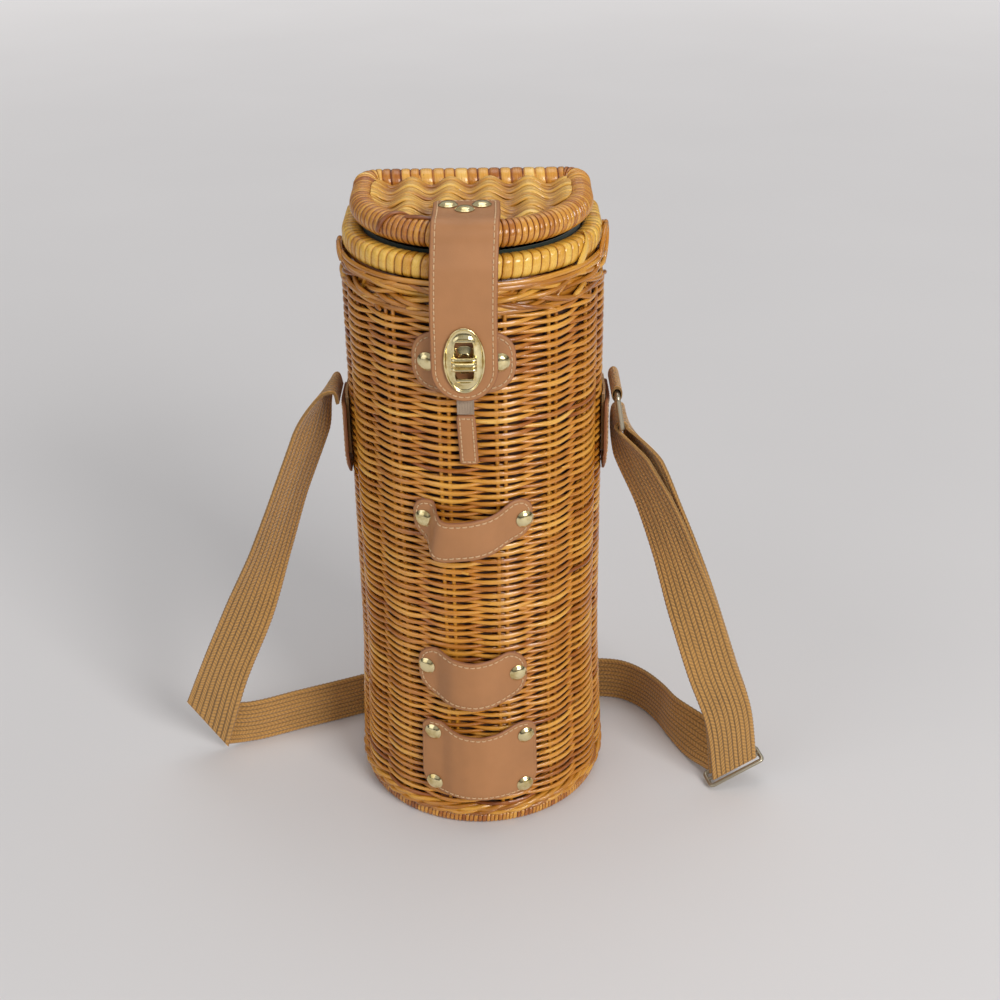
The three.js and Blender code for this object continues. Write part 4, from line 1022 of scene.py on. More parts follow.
@dataclass
class Rims:
    """The wrapped foot rim, the twined band above it and the wrapped rim of the mouth."""

    shell: Shell

    def foot(self) -> bpy.types.Object:
        """Winds the foot rim, which stands flat on the floor."""
        rim = WrappedRim(self.shell, off=-5.0, height=3.4, half_width=3.5, half_height=3.4, groove=0.5,
                         lean=0.5, square=2.6, sides=16, floor=0.0)
        skin = Skin()
        rim.wind(skin, lambda _, rng: rng.uniform(2.0, 2.7),
                 lambda _, rng: rng.uniform(0.18, 0.6), np.random.default_rng(31))
        return skin.build("foot_rim_wrapping", WRAP, "basket", "cane", ("foot_rim",))

    def waling(self, turns: int = 13, count: int = 392) -> bpy.types.Object:
        """Twines two rows of heavy strands over the foot rim.

        Args:
            turns: How often each strand goes in and out round the basket.
            count: How many points each strand has.

        Returns:
            The new object.
        """
        shell = self.shell
        rng = np.random.default_rng(37)
        skin = Skin()
        distance = np.arange(count) * shell.length() / count
        for row in range(2):
            middle = shell.waling_bottom + 1.7 + 3.05 * row
            for strand in range(3):
                phase = 2 * math.pi * (np.arange(count) * turns / count + strand / 3 + row / 2)
                z = middle + 1.1 * np.sin(phase) + 0.2 * smooth_noise(rng, count, 25)
                off = -2.2 + 1.5 * np.cos(phase)
                z = np.clip(z, shell.waling_bottom + 1.3, shell.wall_bottom - 1.0)
                path, outward = shell.wall(distance, off, z)
                tone = 0.46 + 0.1 * strand + 0.16 * smooth_noise(rng, count, 9)
                skin.tube(path, outward, 1.4, 1.45, tone, 500 + row * 10 + strand, 8, True)
        return skin.build("twined_band", STAKE, "basket", "dark_cane", ("bottom_waling",))

    def mouth(self) -> bpy.types.Object:
        """Winds the mouth rim with flat pale cane, which ends under a wider strip at the right."""
        rim = WrappedRim(self.shell, off=-7.5, height=342.05, half_width=5.6, half_height=6.25, groove=0.7,
                         lean=0.9, square=3.0, sides=24, shares=(0.0, 0.07, 0.25, 0.55, 0.85),
                         relief=(1.0, 0.3, 0.04, 0.0, 0.08))
        skin = Skin()
        rim.wind(skin, lambda _, rng: rng.uniform(5.0, 5.9),
                 lambda _, rng: rng.uniform(0.36, 0.74), np.random.default_rng(41))
        share = np.linspace(0, 1, 20)
        path, outward = self.shell.wall(65 + 14 * share, -1.1 - 4.4 * share ** 4, 334.2 + 14.0 * share ** 0.8)
        skin.tube(path, outward, 2.9, 0.7, 0.66, 90, 10)
        return skin.build("mouth_rim_wrapping", PALE_WRAP, "basket", "pale_cane", ("mouth_rim",))


@dataclass
class Lining:
    """The cloth bag inside the basket."""

    shell: Shell
    off: float = -6.3
    edge: float = -13.4
    columns: int = 220
    floor: float = 8.4

    def bag(self) -> bpy.types.Object:
        """Hangs the bag, with soft folds, from the inside of the mouth rim."""
        shell, count = self.shell, self.columns
        rng = np.random.default_rng(43)
        around = np.arange(count) * shell.length() / count
        heights = np.concatenate([np.linspace(7.2, 317, 34), [326.0, 335.3, 339, 343, 348.4]])
        draw_in = np.interp(heights, [318, 334], [self.off, self.edge])
        rings = []
        for z, off in zip(heights, draw_in):
            folds = 0.7 * (smooth_noise(rng, count, 17) - 1) if z < 318 else 0
            rings.append(shell.wall(around, off + folds, z)[0])
        inner = [shell.wall(around, off - (0.7 if z > 318 else 2.4), z)[0]
                 for z, off in zip(heights[::-1][:-1], draw_in[::-1])]
        inner.append(shell.wall(around, self.off - 2.4, self.floor)[0])
        skin = Skin()
        rows = np.stack(rings + inner)
        run = spread(np.broadcast_to(around, rows.shape[:2]), rows[..., 2], 0)
        # Points where this mark is 0, the outer side below the border, take the lining's rear colour: painted
        # shade seen through the gaps of the weave.
        face = np.repeat([float(k >= len(heights) - 4) for k in range(len(rows))], count)
        skin.add(rows.reshape(-1, 3), capped_faces(len(rows), count), face, run.reshape(-1, 3))
        return skin.build("lining_bag", GREEN, "basket", "lining", ("basket_lining",))


# Leather and its fastenings

def offset_loop(loop: Array, inset: float) -> Array:
    """Moves a closed line inwards by an even amount.

    Args:
        loop: Its points in the panel's plane, anticlockwise.
        inset: How far it moves in.

    Returns:
        The moved points.
    """
    before, after = np.roll(loop, 1, axis=0), np.roll(loop, -1, axis=0)
    first, second = unit(loop - before), unit(after - loop)
    left = [spread(-step[:, 1], step[:, 0]) for step in (first, second)]
    middle = unit(left[0] + left[1])
    reach = np.maximum(np.sum(middle * left[0], axis=-1, keepdims=True), 0.5)
    return loop + middle * inset / reach


@dataclass
class Panel:
    """A leather panel of two plies, with bevelled edges and an optional line of stitches.

    Its edge is four lines in the panel's plane: the lower edge and the upper edge run to the
    right, the right edge and the left edge run up. A surface bends the plane into place.
    """

    lower: Array
    right: Array
    upper: Array
    left: Array
    surface: Surface
    thickness: float = 1.8
    stitch_inset: float = 2.4
    pitch: float = 3.2

    def loop(self) -> Array:
        """Joins the four edges into one closed line."""
        return np.concatenate([self.lower, self.right[1:-1], self.upper[::-1], self.left[-2:0:-1]])

    def _fill(self, ring: Array, first: int, depth: float, faces: list, more: list,
              flip: bool) -> None:
        """Fills a ring with a grid of faces.

        Args:
            ring: The ring's points in the panel's plane.
            first: The number of the ring's first point.
            depth: How far the grid stands off.
            faces: The list that takes the faces.
            more: The list that takes the new points, with their depth.
            flip: Whether the faces look the other way.
        """
        across, high = len(self.lower) - 1, len(self.right) - 1
        total = len(ring)
        index = np.zeros((across + 1, high + 1), int)
        index[:, 0] = np.arange(across + 1)
        index[across, :] = across + np.arange(high + 1)
        index[:, high] = across + high + across - np.arange(across + 1)
        index[0, 1:] = total - np.arange(1, high + 1)
        edge = ring[index[:, 0]], ring[index[:, high]], ring[index[0]], ring[index[across]]
        u = (np.arange(across + 1) / across)[:, None, None]
        v = (np.arange(high + 1) / high)[None, :, None]
        patch = ((1 - v) * edge[0][:, None] + v * edge[1][:, None]
                 + (1 - u) * edge[2][None] + u * edge[3][None]
                 - (1 - u) * (1 - v) * edge[0][0] - u * (1 - v) * edge[0][-1]
                 - (1 - u) * v * edge[1][0] - u * v * edge[1][-1])
        numbers = index + first
        inner = np.arange((across - 1) * (high - 1)).reshape(across - 1, high - 1)
        numbers[1:-1, 1:-1] = inner + len(more)
        more += [(a, b, depth, 1.0) for a, b in patch[1:-1, 1:-1].reshape(-1, 2)]
        for i in range(across):
            for j in range(high):
                face = [numbers[i, j], numbers[i + 1, j], numbers[i + 1, j + 1], numbers[i, j + 1]]
                faces.append(face[::-1] if flip else face)

    def cut(self, skin: Skin) -> None:
        """Builds the leather with its edge and a groove under the stitches."""
        loop = self.loop()
        total = len(loop)
        t, s = self.thickness, self.stitch_inset
        rings = [(s + 0.7, t, 1.0), (s, t - 0.2, 0.86), (s - 0.7, t, 1.0), (0.8, t, 0.92),
                 (0.3, t - 0.2, 0.35), (0.0, t - 0.65, 0.1), (0.18, t * 0.5, 0.0), (0.0, 0.55, 0.1),
                 (0.35, 0.1, 0.3), (0.9, 0.0, 0.8)]
        points: list[tuple[float, float, float, float]] = []
        faces: list[list[int]] = []
        lines = []
        for inset, depth, tone in rings:
            line = offset_loop(loop, inset) if inset else loop
            lines.append(line)
            points += [(a, b, depth, tone) for a, b in line]
        for k in range(len(rings) - 1):
            for i in range(total):
                j = (i + 1) % total
                faces.append([k * total + i, (k + 1) * total + i, (k + 1) * total + j, k * total + j])
        self._fill(lines[0], 0, t, faces, points, False)
        self._fill(lines[-1], (len(rings) - 1) * total, 0.0, faces, points, True)
        rows = np.array(points)
        placed = self.surface(rows[:, 0], rows[:, 1], rows[:, 2])
        skin.add(placed, faces, rows[:, 3], spread(rows[:, 0], rows[:, 1], 0))

    def stitch(self, skin: Skin, keep: Callable[[float, float], bool] = lambda a, b: True) -> None:
        """Sews a line of stitches round the panel.

        Args:
            skin: The piece that the thread goes into.
            keep: Says whether there is a stitch at a place of the plane.
        """
        line = offset_loop(self.loop(), self.stitch_inset)
        line = np.concatenate([line, line[:1]])
        walked = travel(line)
        count = max(int(walked[-1] / self.pitch), 1)
        step = walked[-1] / count
        share = np.array([0.0, 0.12, 0.32, 0.5, 0.68, 0.88, 1.0])
        rise = np.array([-0.35, 0.02, 0.14, 0.17, 0.14, 0.02, -0.35])
        for k in range(count):
            place = (k + 0.18 + 0.64 * share) * step
            a, b = (np.interp(place, walked, line[:, i]) for i in range(2))
            if not keep(float(a[3]), float(b[3])):
                continue
            depth = self.thickness + rise
            path = self.surface(a, b, depth)
            outward = unit(self.surface(a, b, depth + 1) - path)
            skin.tube(path, outward, 0.34, 0.3, 0.5, k * 1.3, 6)

    def make(self, leather: str, stitches: str, body: str, node: str,
             keep: Callable[[float, float], bool] = lambda a, b: True) -> None:
        """Cuts the panel, sews it and puts both pieces on their body.

        Args:
            leather: The name of the leather.
            stitches: The name of the thread.
            body: The body that they ride on.
            node: The CAD node that the leather replaces.
            keep: Says whether there is a stitch at a place of the plane.
        """
        skin, thread = Skin(), Skin()
        self.cut(skin)
        self.stitch(thread, keep)
        skin.build(leather, TAN, body, "leather", (node,))
        thread.build(stitches, STITCH, body, "leather")


def corner_draw(place: Array, width: float, radius: float) -> Array:
    """Gives how far a rounded corner draws an edge in near the ends of a panel."""
    past = np.clip((np.abs(place) - 1) * width / 2 + radius, 0, radius)
    return radius - np.sqrt(radius ** 2 - past ** 2)


@dataclass
class Rivets:
    """Brass rivets with a low domed cap, a shank and a clenched tail."""

    shell: Shell

    CAP = ((0.0, 2.0), (1.2, 1.95), (2.4, 1.76), (3.3, 1.42), (4.0, 0.98), (4.45, 0.55),
           (4.8, 0.32), (5.0, 0.16), (4.95, 0.0))

    def _set(self, node: str, start: Array, facing: Array, grip: float, body: str) -> None:
        """Sets one rivet.

        Args:
            node: The CAD node that it replaces.
            start: The point under its cap.
            facing: The direction that its cap faces.
            grip: The depth of what it holds.
            body: The body that it rides on.
        """
        profile = list(self.CAP) + [(1.2, 0.0), (1.2, -grip), (2.6, -grip), (3.0, -grip - 0.3),
                                    (2.6, -grip - 0.9), (0.0, -grip - 1.0)]
        skin = Skin()
        skin.lathe(profile, start, facing, 40)
        skin.build(node + "_cap", BRASS, body, "brass", (node,))

    def through_wall(self, node: str, around: float, z: float) -> None:
        """Sets a rivet through a leather fitting and the wall."""
        start = self.shell.on_front(around, z, 2.4)
        self._set(node, start, self.shell.front_facing(around), 7.1, "basket")

    def through_lid(self, node: str, x: float, y: float) -> None:
        """Sets a rivet through the closing strap and the lid panel."""
        self._set(node, np.array([x, y, 367.4]), UP, 11.8, "lid")


Knots = tuple[tuple[float, float], ...]


def soft_line(knots: Knots, softness: float = 0.05) -> Callable[[Array], Array]:
    """Draws a line through places from -1 to 1, with its corners rounded.

    Args:
        knots: Places and their values.
        softness: How wide each corner is rounded.

    Returns:
        A function that reads the line.
    """
    fine = np.linspace(-1.2, 1.2, 481)
    raw = np.interp(fine, *zip(*knots))
    kernel = np.exp(-(np.arange(-40, 41) * 0.005 / softness) ** 2)
    values = np.convolve(np.pad(raw, 40, mode="edge"), kernel / kernel.sum(), mode="valid")
    return lambda place: np.interp(place, fine, values)


class Sewing(Enum):
    """Where a fitting has stitches."""

    ROUND = "all the way round"
    NOT_UNDER_CAPS = "all round, but not beside the rivets of the ends"


@dataclass
class Sling:
    """A leather loop or pocket that stands off the wall between its rivets.

    Its lines run from -1, its left end, to 1, its right end: how far the upper edge and the
    lower edge sink, and how far the leather stands off. Lean moves the stand-off's left slope
    towards the left at the lower edge.
    """

    name: str
    top: float
    height: float
    width: float
    centre: float
    upper_sink: Knots
    lower_sink: Knots
    stand: Knots
    top_corner: float
    bottom_corner: float
    tilt: float = 0.0
    lean: float = 0.0
    inset: float = 2.4
    sewing: Sewing = Sewing.ROUND

    def low(self, place: Array) -> Array:
        """Gives the height of the lower edge."""
        sink = soft_line(self.lower_sink)(place) + self.tilt * place
        return self.top - self.height - sink + corner_draw(place, self.width, self.bottom_corner)

    def high(self, place: Array) -> Array:
        """Gives the height of the upper edge."""
        sink = soft_line(self.upper_sink)(place) + self.tilt * place
        return self.top - sink - corner_draw(place, self.width, self.top_corner)

    def make(self, shell: Shell) -> None:
        """Cuts the leather, bends it into place and sews it.

        Args:
            shell: The wall that it hangs on.
        """
        stand = soft_line(self.stand, 0.06)

        def surface(a: Array, b: Array, depth: Array) -> Array:
            """Bends the leather's plane round the wall."""
            place = (a - self.centre) / (self.width / 2)
            below = np.clip((self.top - b) / self.height, 0, 1.3)
            shifted = place + self.lean * below * np.clip(-4 * place, 0, 1)
            return shell.on_front(a, b, CLEARANCE + stand(np.clip(shifted, -1, 1)) + depth)

        place = np.sin(np.linspace(-1, 1, 81) * math.pi / 2)
        a = self.centre + place * self.width / 2
        rise = np.linspace(0, 1, 17)
        ends = [spread(a[k], self.low(place[k]) + rise * (self.high(place[k]) - self.low(place[k])))
                for k in (-1, 0)]
        panel = Panel(spread(a, self.low(place)), ends[0], spread(a, self.high(place)), ends[1], surface,
                      stitch_inset=self.inset, pitch=3.0)
        clear = self.width / 2 - 5
        panel.make(self.name + "_leather", self.name + "_stitches", "basket", self.name,
                   lambda x, _: self.sewing is Sewing.ROUND or abs(x - self.centre) < clear)


@dataclass
class FrontLeather:
    """The leather fittings on the round front, with their rivets."""

    shell: Shell

    def loops(self) -> None:
        """Makes the two tool loops and the pocket."""
        slings = [
            Sling(
                "upper_tool_loop", top=215.5, height=24, width=65, centre=-1.8,
                upper_sink=((-0.63, 0.0), (-0.54, 3.5), (-0.46, 7.0), (-0.36, 7.8), (-0.15, 7.2),
                            (0.1, 6.0), (0.34, 5.0), (0.5, 3.0), (0.66, 0.4), (0.8, 0.0)),
                lower_sink=((-0.84, 0.0), (-0.7, 3.7), (-0.58, 7.4), (-0.4, 7.9), (-0.19, 6.8),
                            (0.11, 5.6), (0.34, 4.3), (0.55, 2.0), (0.72, 0.4), (0.85, 0.0)),
                stand=((-0.62, 0.0), (-0.55, 3.0), (-0.46, 9.0), (-0.3, 10.0), (0.0, 9.7),
                       (0.2, 8.0), (0.4, 4.2), (0.55, 1.2), (0.67, 0.0)),
                top_corner=8, bottom_corner=11, lean=0.13),
            Sling(
                "lower_tool_loop", top=120.8, height=31.5, width=62, centre=-4.0,
                upper_sink=((-0.62, 0.0), (-0.3, 1.8), (0.0, 2.6), (0.3, 1.8), (0.62, 0.0)),
                lower_sink=((-0.7, 0.0), (-0.3, 2.2), (0.0, 2.8), (0.3, 2.2), (0.7, 0.0)),
                stand=((-0.6, 0.0), (-0.48, 2.5), (-0.3, 6.0), (-0.1, 7.6), (0.1, 7.6),
                       (0.35, 5.0), (0.6, 0.6), (0.7, 0.0)),
                top_corner=11, bottom_corner=14, tilt=1.4, lean=0.05),
            Sling(
                "tool_pocket", top=71.8, height=48.6, width=65.6, centre=-0.9,
                upper_sink=((-0.66, 0.0), (-0.5, 2.0), (-0.3, 4.6), (0.0, 5.6), (0.3, 4.2),
                            (0.55, 1.4), (0.72, 0.0)),
                lower_sink=((-1.0, 0.0), (1.0, 0.0)),
                stand=((-0.62, 0.0), (-0.45, 2.8), (-0.2, 4.6), (0.1, 4.6), (0.4, 2.4), (0.64, 0.0)),
                top_corner=6, bottom_corner=14, tilt=1.0, inset=1.9, sewing=Sewing.NOT_UNDER_CAPS),
        ]
        for sling in slings:
            sling.make(self.shell)
        rivets = Rivets(self.shell)
        for label, side in SIDES:
            rivets.through_wall(f"upper_tool_loop_rivet_{label}", -1.0 + side * 27, 203.5 - side * 0.4)
            rivets.through_wall(f"lower_tool_loop_rivet_{label}", -4.0 + side * 25.6, 107.2 - side * 1.9)
            rivets.through_wall(f"pocket_rivet_lower_{label}", -1.0 + side * 25.2, 29.5 - side)
            rivets.through_wall(f"pocket_rivet_upper_{label}", -0.6 + side * 26.1, 63.6 - 1.4 * side)
            rivets.through_wall(f"lock_rivet_{label}", -4.6 + side * 18.4, 295)

    def lock_leather(self) -> None:
        """Makes the winged leather under the turn lock."""
        place = np.sin(np.linspace(-1, 1, 61) * math.pi / 2)
        middle = 295
        wing = 2.5 + 14.5 * np.sqrt(1 - place ** 4)
        a = -4.7 + place * 26.8
        rise = np.linspace(-1, 1, 13)
        ends = [spread(a[k], middle + rise * wing[k]) for k in (-1, 0)]
        panel = Panel(spread(a, middle - wing), ends[0], spread(a, middle + wing), ends[1],
                      lambda x, z, depth: self.shell.on_front(x, z, CLEARANCE + depth))
        panel.make("lock_leather_panel", "lock_leather_stitches", "basket", "lock_leather")

    def pull_tab(self) -> None:
        """Makes the small tab on its grey ribbon."""
        centre, half, low, high = -4, 4.85, 238.0, 266.0
        across = np.linspace(-1, 1, 15)
        rise = np.linspace(0, 1, 25)
        round_off = corner_draw(across, 2 * half, 1.6)
        lower = spread(centre + half * across, low + round_off)
        upper = spread(centre + half * across, high - round_off)
        ends = [spread(centre + side * half, low + 1.6 + rise * (high - low - 3.2)) for side in (1, -1)]
        panel = Panel(lower, ends[0], upper, ends[1],
                      lambda x, z, depth: self.shell.on_front(x + (high - z) * 0.05, z, CLEARANCE + depth),
                      stitch_inset=1.7, pitch=2.5)
        panel.make("pull_tab_leather", "pull_tab_stitches", "pull_tab", "pull_tab")
        rows = np.linspace(266.3, 277.4, 14)
        columns = np.linspace(-4.4, 4.4, 27)
        skin = Skin()
        thick = 0.78 + 0.1 * np.cos(columns * 4.6)
        front = self.shell.on_front(centre + columns, rows[:, None], CLEARANCE + thick)
        rear = self.shell.on_front(centre + columns, rows[:, None], CLEARANCE)
        grid = np.concatenate([front, rear[:, ::-1]], axis=1)
        run = spread(np.concatenate([columns, columns[::-1]]), rows[:, None], 0)
        skin.add(grid.reshape(-1, 3), capped_faces(*grid.shape[:2]), 1.0, run.reshape(-1, 3))
        skin.build("pull_ribbon_cloth", RIBBON, "basket", "ribbon", ("pull_ribbon",))


@dataclass
class ClosingStrap:
    """The strap that lies over the lid and hangs down over the lock."""

    centre: float = -4.0
    half: float = 17.0
    thickness: float = 2.0
    back_end: float = -33.7
    lock_height: float = 297.5
    bottom: float = 276.0

    def route(self) -> Array:
        """Draws its middle line in Y and Z, from the lid down to the lower end."""
        turn = np.linspace(math.pi / 2, math.pi * 1.04, 40)
        arc = np.array([-63.7, 357.8]) + 8.3 * spread(np.cos(turn), np.sin(turn))
        top = spread(np.linspace(self.back_end, -63.2, 40), 366.1)
        knee = np.array([[-77.2, 345.0], [-78.3, 337.5], [-79.5, 327.0], [-80.58, 317.8]])
        drop = spread(-80.58, np.linspace(312, self.bottom, 50))
        line = resample(np.concatenate([top, arc, knee, drop]), 400)
        for _ in range(60):
            line[1:-1] = (line[:-2] + line[1:-1] * 2 + line[2:]) / 4
        return line

    def make(self) -> None:
        """Cuts the strap, which curves over the front of the lid, opens its window and sews it."""
        line = self.route()
        walked = travel(line)
        tangent = unit(np.gradient(line, axis=0))
        total = walked[-1]

        def surface(a: Array, b: Array, depth: Array) -> Array:
            """Lays the strap's plane along its route."""
            place = np.clip(total - b, 0, total)
            y, z = (np.interp(place, walked, line[:, k]) for k in range(2))
            along = [np.interp(place, walked, tangent[:, k]) for k in range(2)]
            off = depth - self.thickness / 2
            lean = 2.2 * np.clip((b - 42) / 60, 0, 1) ** 1.5
            return spread(self.centre + a + lean, y + along[1] * off, z - along[0] * off)

        across = np.sin(np.linspace(-1, 1, 31) * math.pi / 2)
        a = across * self.half
        lower = spread(a, self.half - np.sqrt(np.maximum(self.half ** 2 - a ** 2, 0)) * 0.999)
        upper = spread(a, total - corner_draw(across, 2 * self.half, 4))
        rise = np.linspace(0, 1, 111)
        sides = [spread(side * self.half, lower[0, 1] + rise * (upper[0, 1] - lower[0, 1]))
                 for side in (1, -1)]
        panel = Panel(lower, sides[0], upper, sides[1], surface, self.thickness)
        skin, thread = Skin(), Skin()
        panel.cut(skin)
        panel.stitch(thread)
        strap = skin.build("closing_strap_leather", TAN, None, "leather",
                           ("closure_strap_top", "closure_strap_flap"))
        self._open_window(strap)
        seam = thread.build("closing_strap_stitches", STITCH, None, "leather")
        for piece in (strap, seam):
            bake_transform(piece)

    def _open_window(self, strap: bpy.types.Object) -> None:
        """Cuts the slot for the lock's post out of the strap."""
        cutter = bpy.data.meshes.new("window_cutter")
        shape = bmesh.new()
        bmesh.ops.create_cube(shape, size=1)
        size = Matrix.Diagonal((0.0098, 0.012, 0.0232, 1))
        place = Matrix.Translation((self.centre * MM, -0.0806, self.lock_height * MM))
        bmesh.ops.transform(shape, matrix=place @ size, verts=shape.verts)
        shape.to_mesh(cutter)
        shape.free()
        block = stand("window_cutter", cutter)
        change = strap.modifiers.new("window", "BOOLEAN")
        change.object = block
        change.operation = "DIFFERENCE"
        change.solver = "EXACT"
        bake_modifiers(strap)
        bpy.data.objects.remove(block)


def bake_modifiers(piece: bpy.types.Object) -> None:
    """Replaces a piece's mesh by the result of its modifiers."""
    graph = bpy.context.evaluated_depsgraph_get()
    result = bpy.data.meshes.new_from_object(piece.evaluated_get(graph), depsgraph=graph)
    piece.modifiers.clear()
    piece.data = result


@dataclass
class TurnLock:
    """The brass turn lock: plates with a slot, a post on the basket and a bar that turns."""

    x: float = -4.0
    z: float = 297.5
    plate_back: float = -81.88
    plate_rise: float = 1.2
    plate_half: tuple[float, float] = (10.5, 17.5)
    window_half: tuple[float, float] = (4.8, 11.5)

    def _foot(self) -> Array:
        """Gives the place on the lock leather where the post stands."""
        return np.array([self.x, -77.58, self.z])

    def _ring_plate(self, skin: Skin, steps: Knots, outer: tuple[float, float], back: float,
                    lip: float) -> None:
        """Adds an oval plate with an upright window.

        Args:
            skin: The piece that it goes into.
            steps: Share of the way from the rim to the window, and height, of each ring of points.
            outer: Half its width and half its height.
            back: The Y of its rear face.
            lip: How far the ends of the window stand up.
        """
        turn = (np.arange(72) + 0.5) * 2 * math.pi / 72
        rim = spread(outer[0] * np.cos(turn), outer[1] * np.sin(turn))
        across, up = squared(turn, 0.45)
        hole = spread(self.window_half[0] * across, self.window_half[1] * up)
        rows = []
        for share, height in steps:
            flat = rim * (1 - share) + hole * share
            raised = lip * np.clip((share - 0.7) / 0.2, 0, 1) * np.abs(np.sin(turn)) ** 6 * (height > 0)
            rows.append(spread(self.x + flat[:, 0], back - height - raised,
                               self.z + self.plate_rise + flat[:, 1]))
        points = np.stack(rows).reshape(-1, 3)
        skin.add(points, grid_faces(len(rows), 72, True, True), 0.5, np.zeros(3))

    def plates(self) -> None:
        """Makes the oval plate on the strap, its back plate and the base plate with its post."""
        skin = Skin()
        bead = ((0.0, 0.05), (-0.02, 0.45), (0.0, 0.95), (0.06, 1.25), (0.12, 1.25), (0.19, 0.85),
                (0.26, 0.5), (0.4, 0.42), (0.6, 0.65), (0.76, 1.05), (0.84, 1.25), (0.94, 1.3),
                (1.0, 1.0), (1.0, 0.0))
        self._ring_plate(skin, bead, self.plate_half, self.plate_back, 0.35)
        for side in (-1, 1):
            lip = spread(self.x + np.linspace(-4.4, 4.4, 9), self.plate_back - 0.75,
                         self.z + self.plate_rise + side * 10.6)
            skin.tube(lip, FORWARD, 0.95, 0.8, 0.5, 3 + side, 12)
        skin.build("slot_plate_oval", BRASS, "closing_strap", "brass", ("lock_slot_plate",))
        skin = Skin()
        thin = ((0.0, 0.1), (0.0, 0.6), (0.06, 0.7), (0.94, 0.7), (1.0, 0.6), (1.0, 0.0), (0.06, 0.0))
        self._ring_plate(skin, thin, (7.5, 14.0), -78.58, 0.0)
        skin.build("slot_back_plate_oval", BRASS, "closing_strap", "brass", ("lock_slot_back_plate",))
        skin = Skin()
        profile = [(0.0, 0.0), (7.2, 0.0), (7.5, 0.2), (7.5, 0.5), (7.2, 0.7), (3.5, 0.7), (3.2, 1.0),
                   (3.2, 5.5), (2.9, 5.8), (1.7, 5.8), (1.6, 5.4), (0.0, 5.4)]
        skin.lathe(profile, self._foot(), FORWARD, 40)
        skin.build("lock_post_plate", BRASS, "basket", "brass", ("lock_base_plate",))

    def button(self) -> None:
        """Makes the ridged bar that turns on the post, with its spindle."""
        skin = Skin()
        wide = np.array([-6.4, -6.2, -5.5, -4.3, -2.0, 0.0, 2.0, 4.3, 5.5, 6.2, 6.4])
        edge = np.array([0.4, 0.62, 0.9, 1.0, 1.0, 1.0, 1.0, 1.0, 0.9, 0.62, 0.4])
        tall = np.array([-3.8, -3.7, -3.2, -2.5, -1.9, -1.5, -0.9, 0.2, 1.2, 1.7, 2.0, 2.5, 3.1,
                         3.7, 3.8])
        rise = np.array([0.6, 1.5, 2.4, 2.7, 2.3, 1.4, 3.0, 4.0, 3.0, 1.4, 2.1, 2.7, 2.4, 1.5, 0.6])
        front = spread(self.x + wide[:, None], -83.68 - rise[None] * edge[:, None], self.z + tall[None])
        rear = spread(self.x + wide[:, None], -83.68, self.z + tall[None])
        loops = np.concatenate([front, rear[:, ::-1]], axis=1)
        skin.add(loops.reshape(-1, 3), capped_faces(*loops.shape[:2]), 0.5, np.zeros(3))
        profile = [(0.0, 0.0), (1.1, 0.0), (1.3, 0.2), (1.3, 6.4), (0.0, 6.4)]
        skin.lathe(profile, self._foot(), FORWARD, 24)
        skin.build("turn_bar", BRASS, "turn_button", "brass", ("turn_button",))


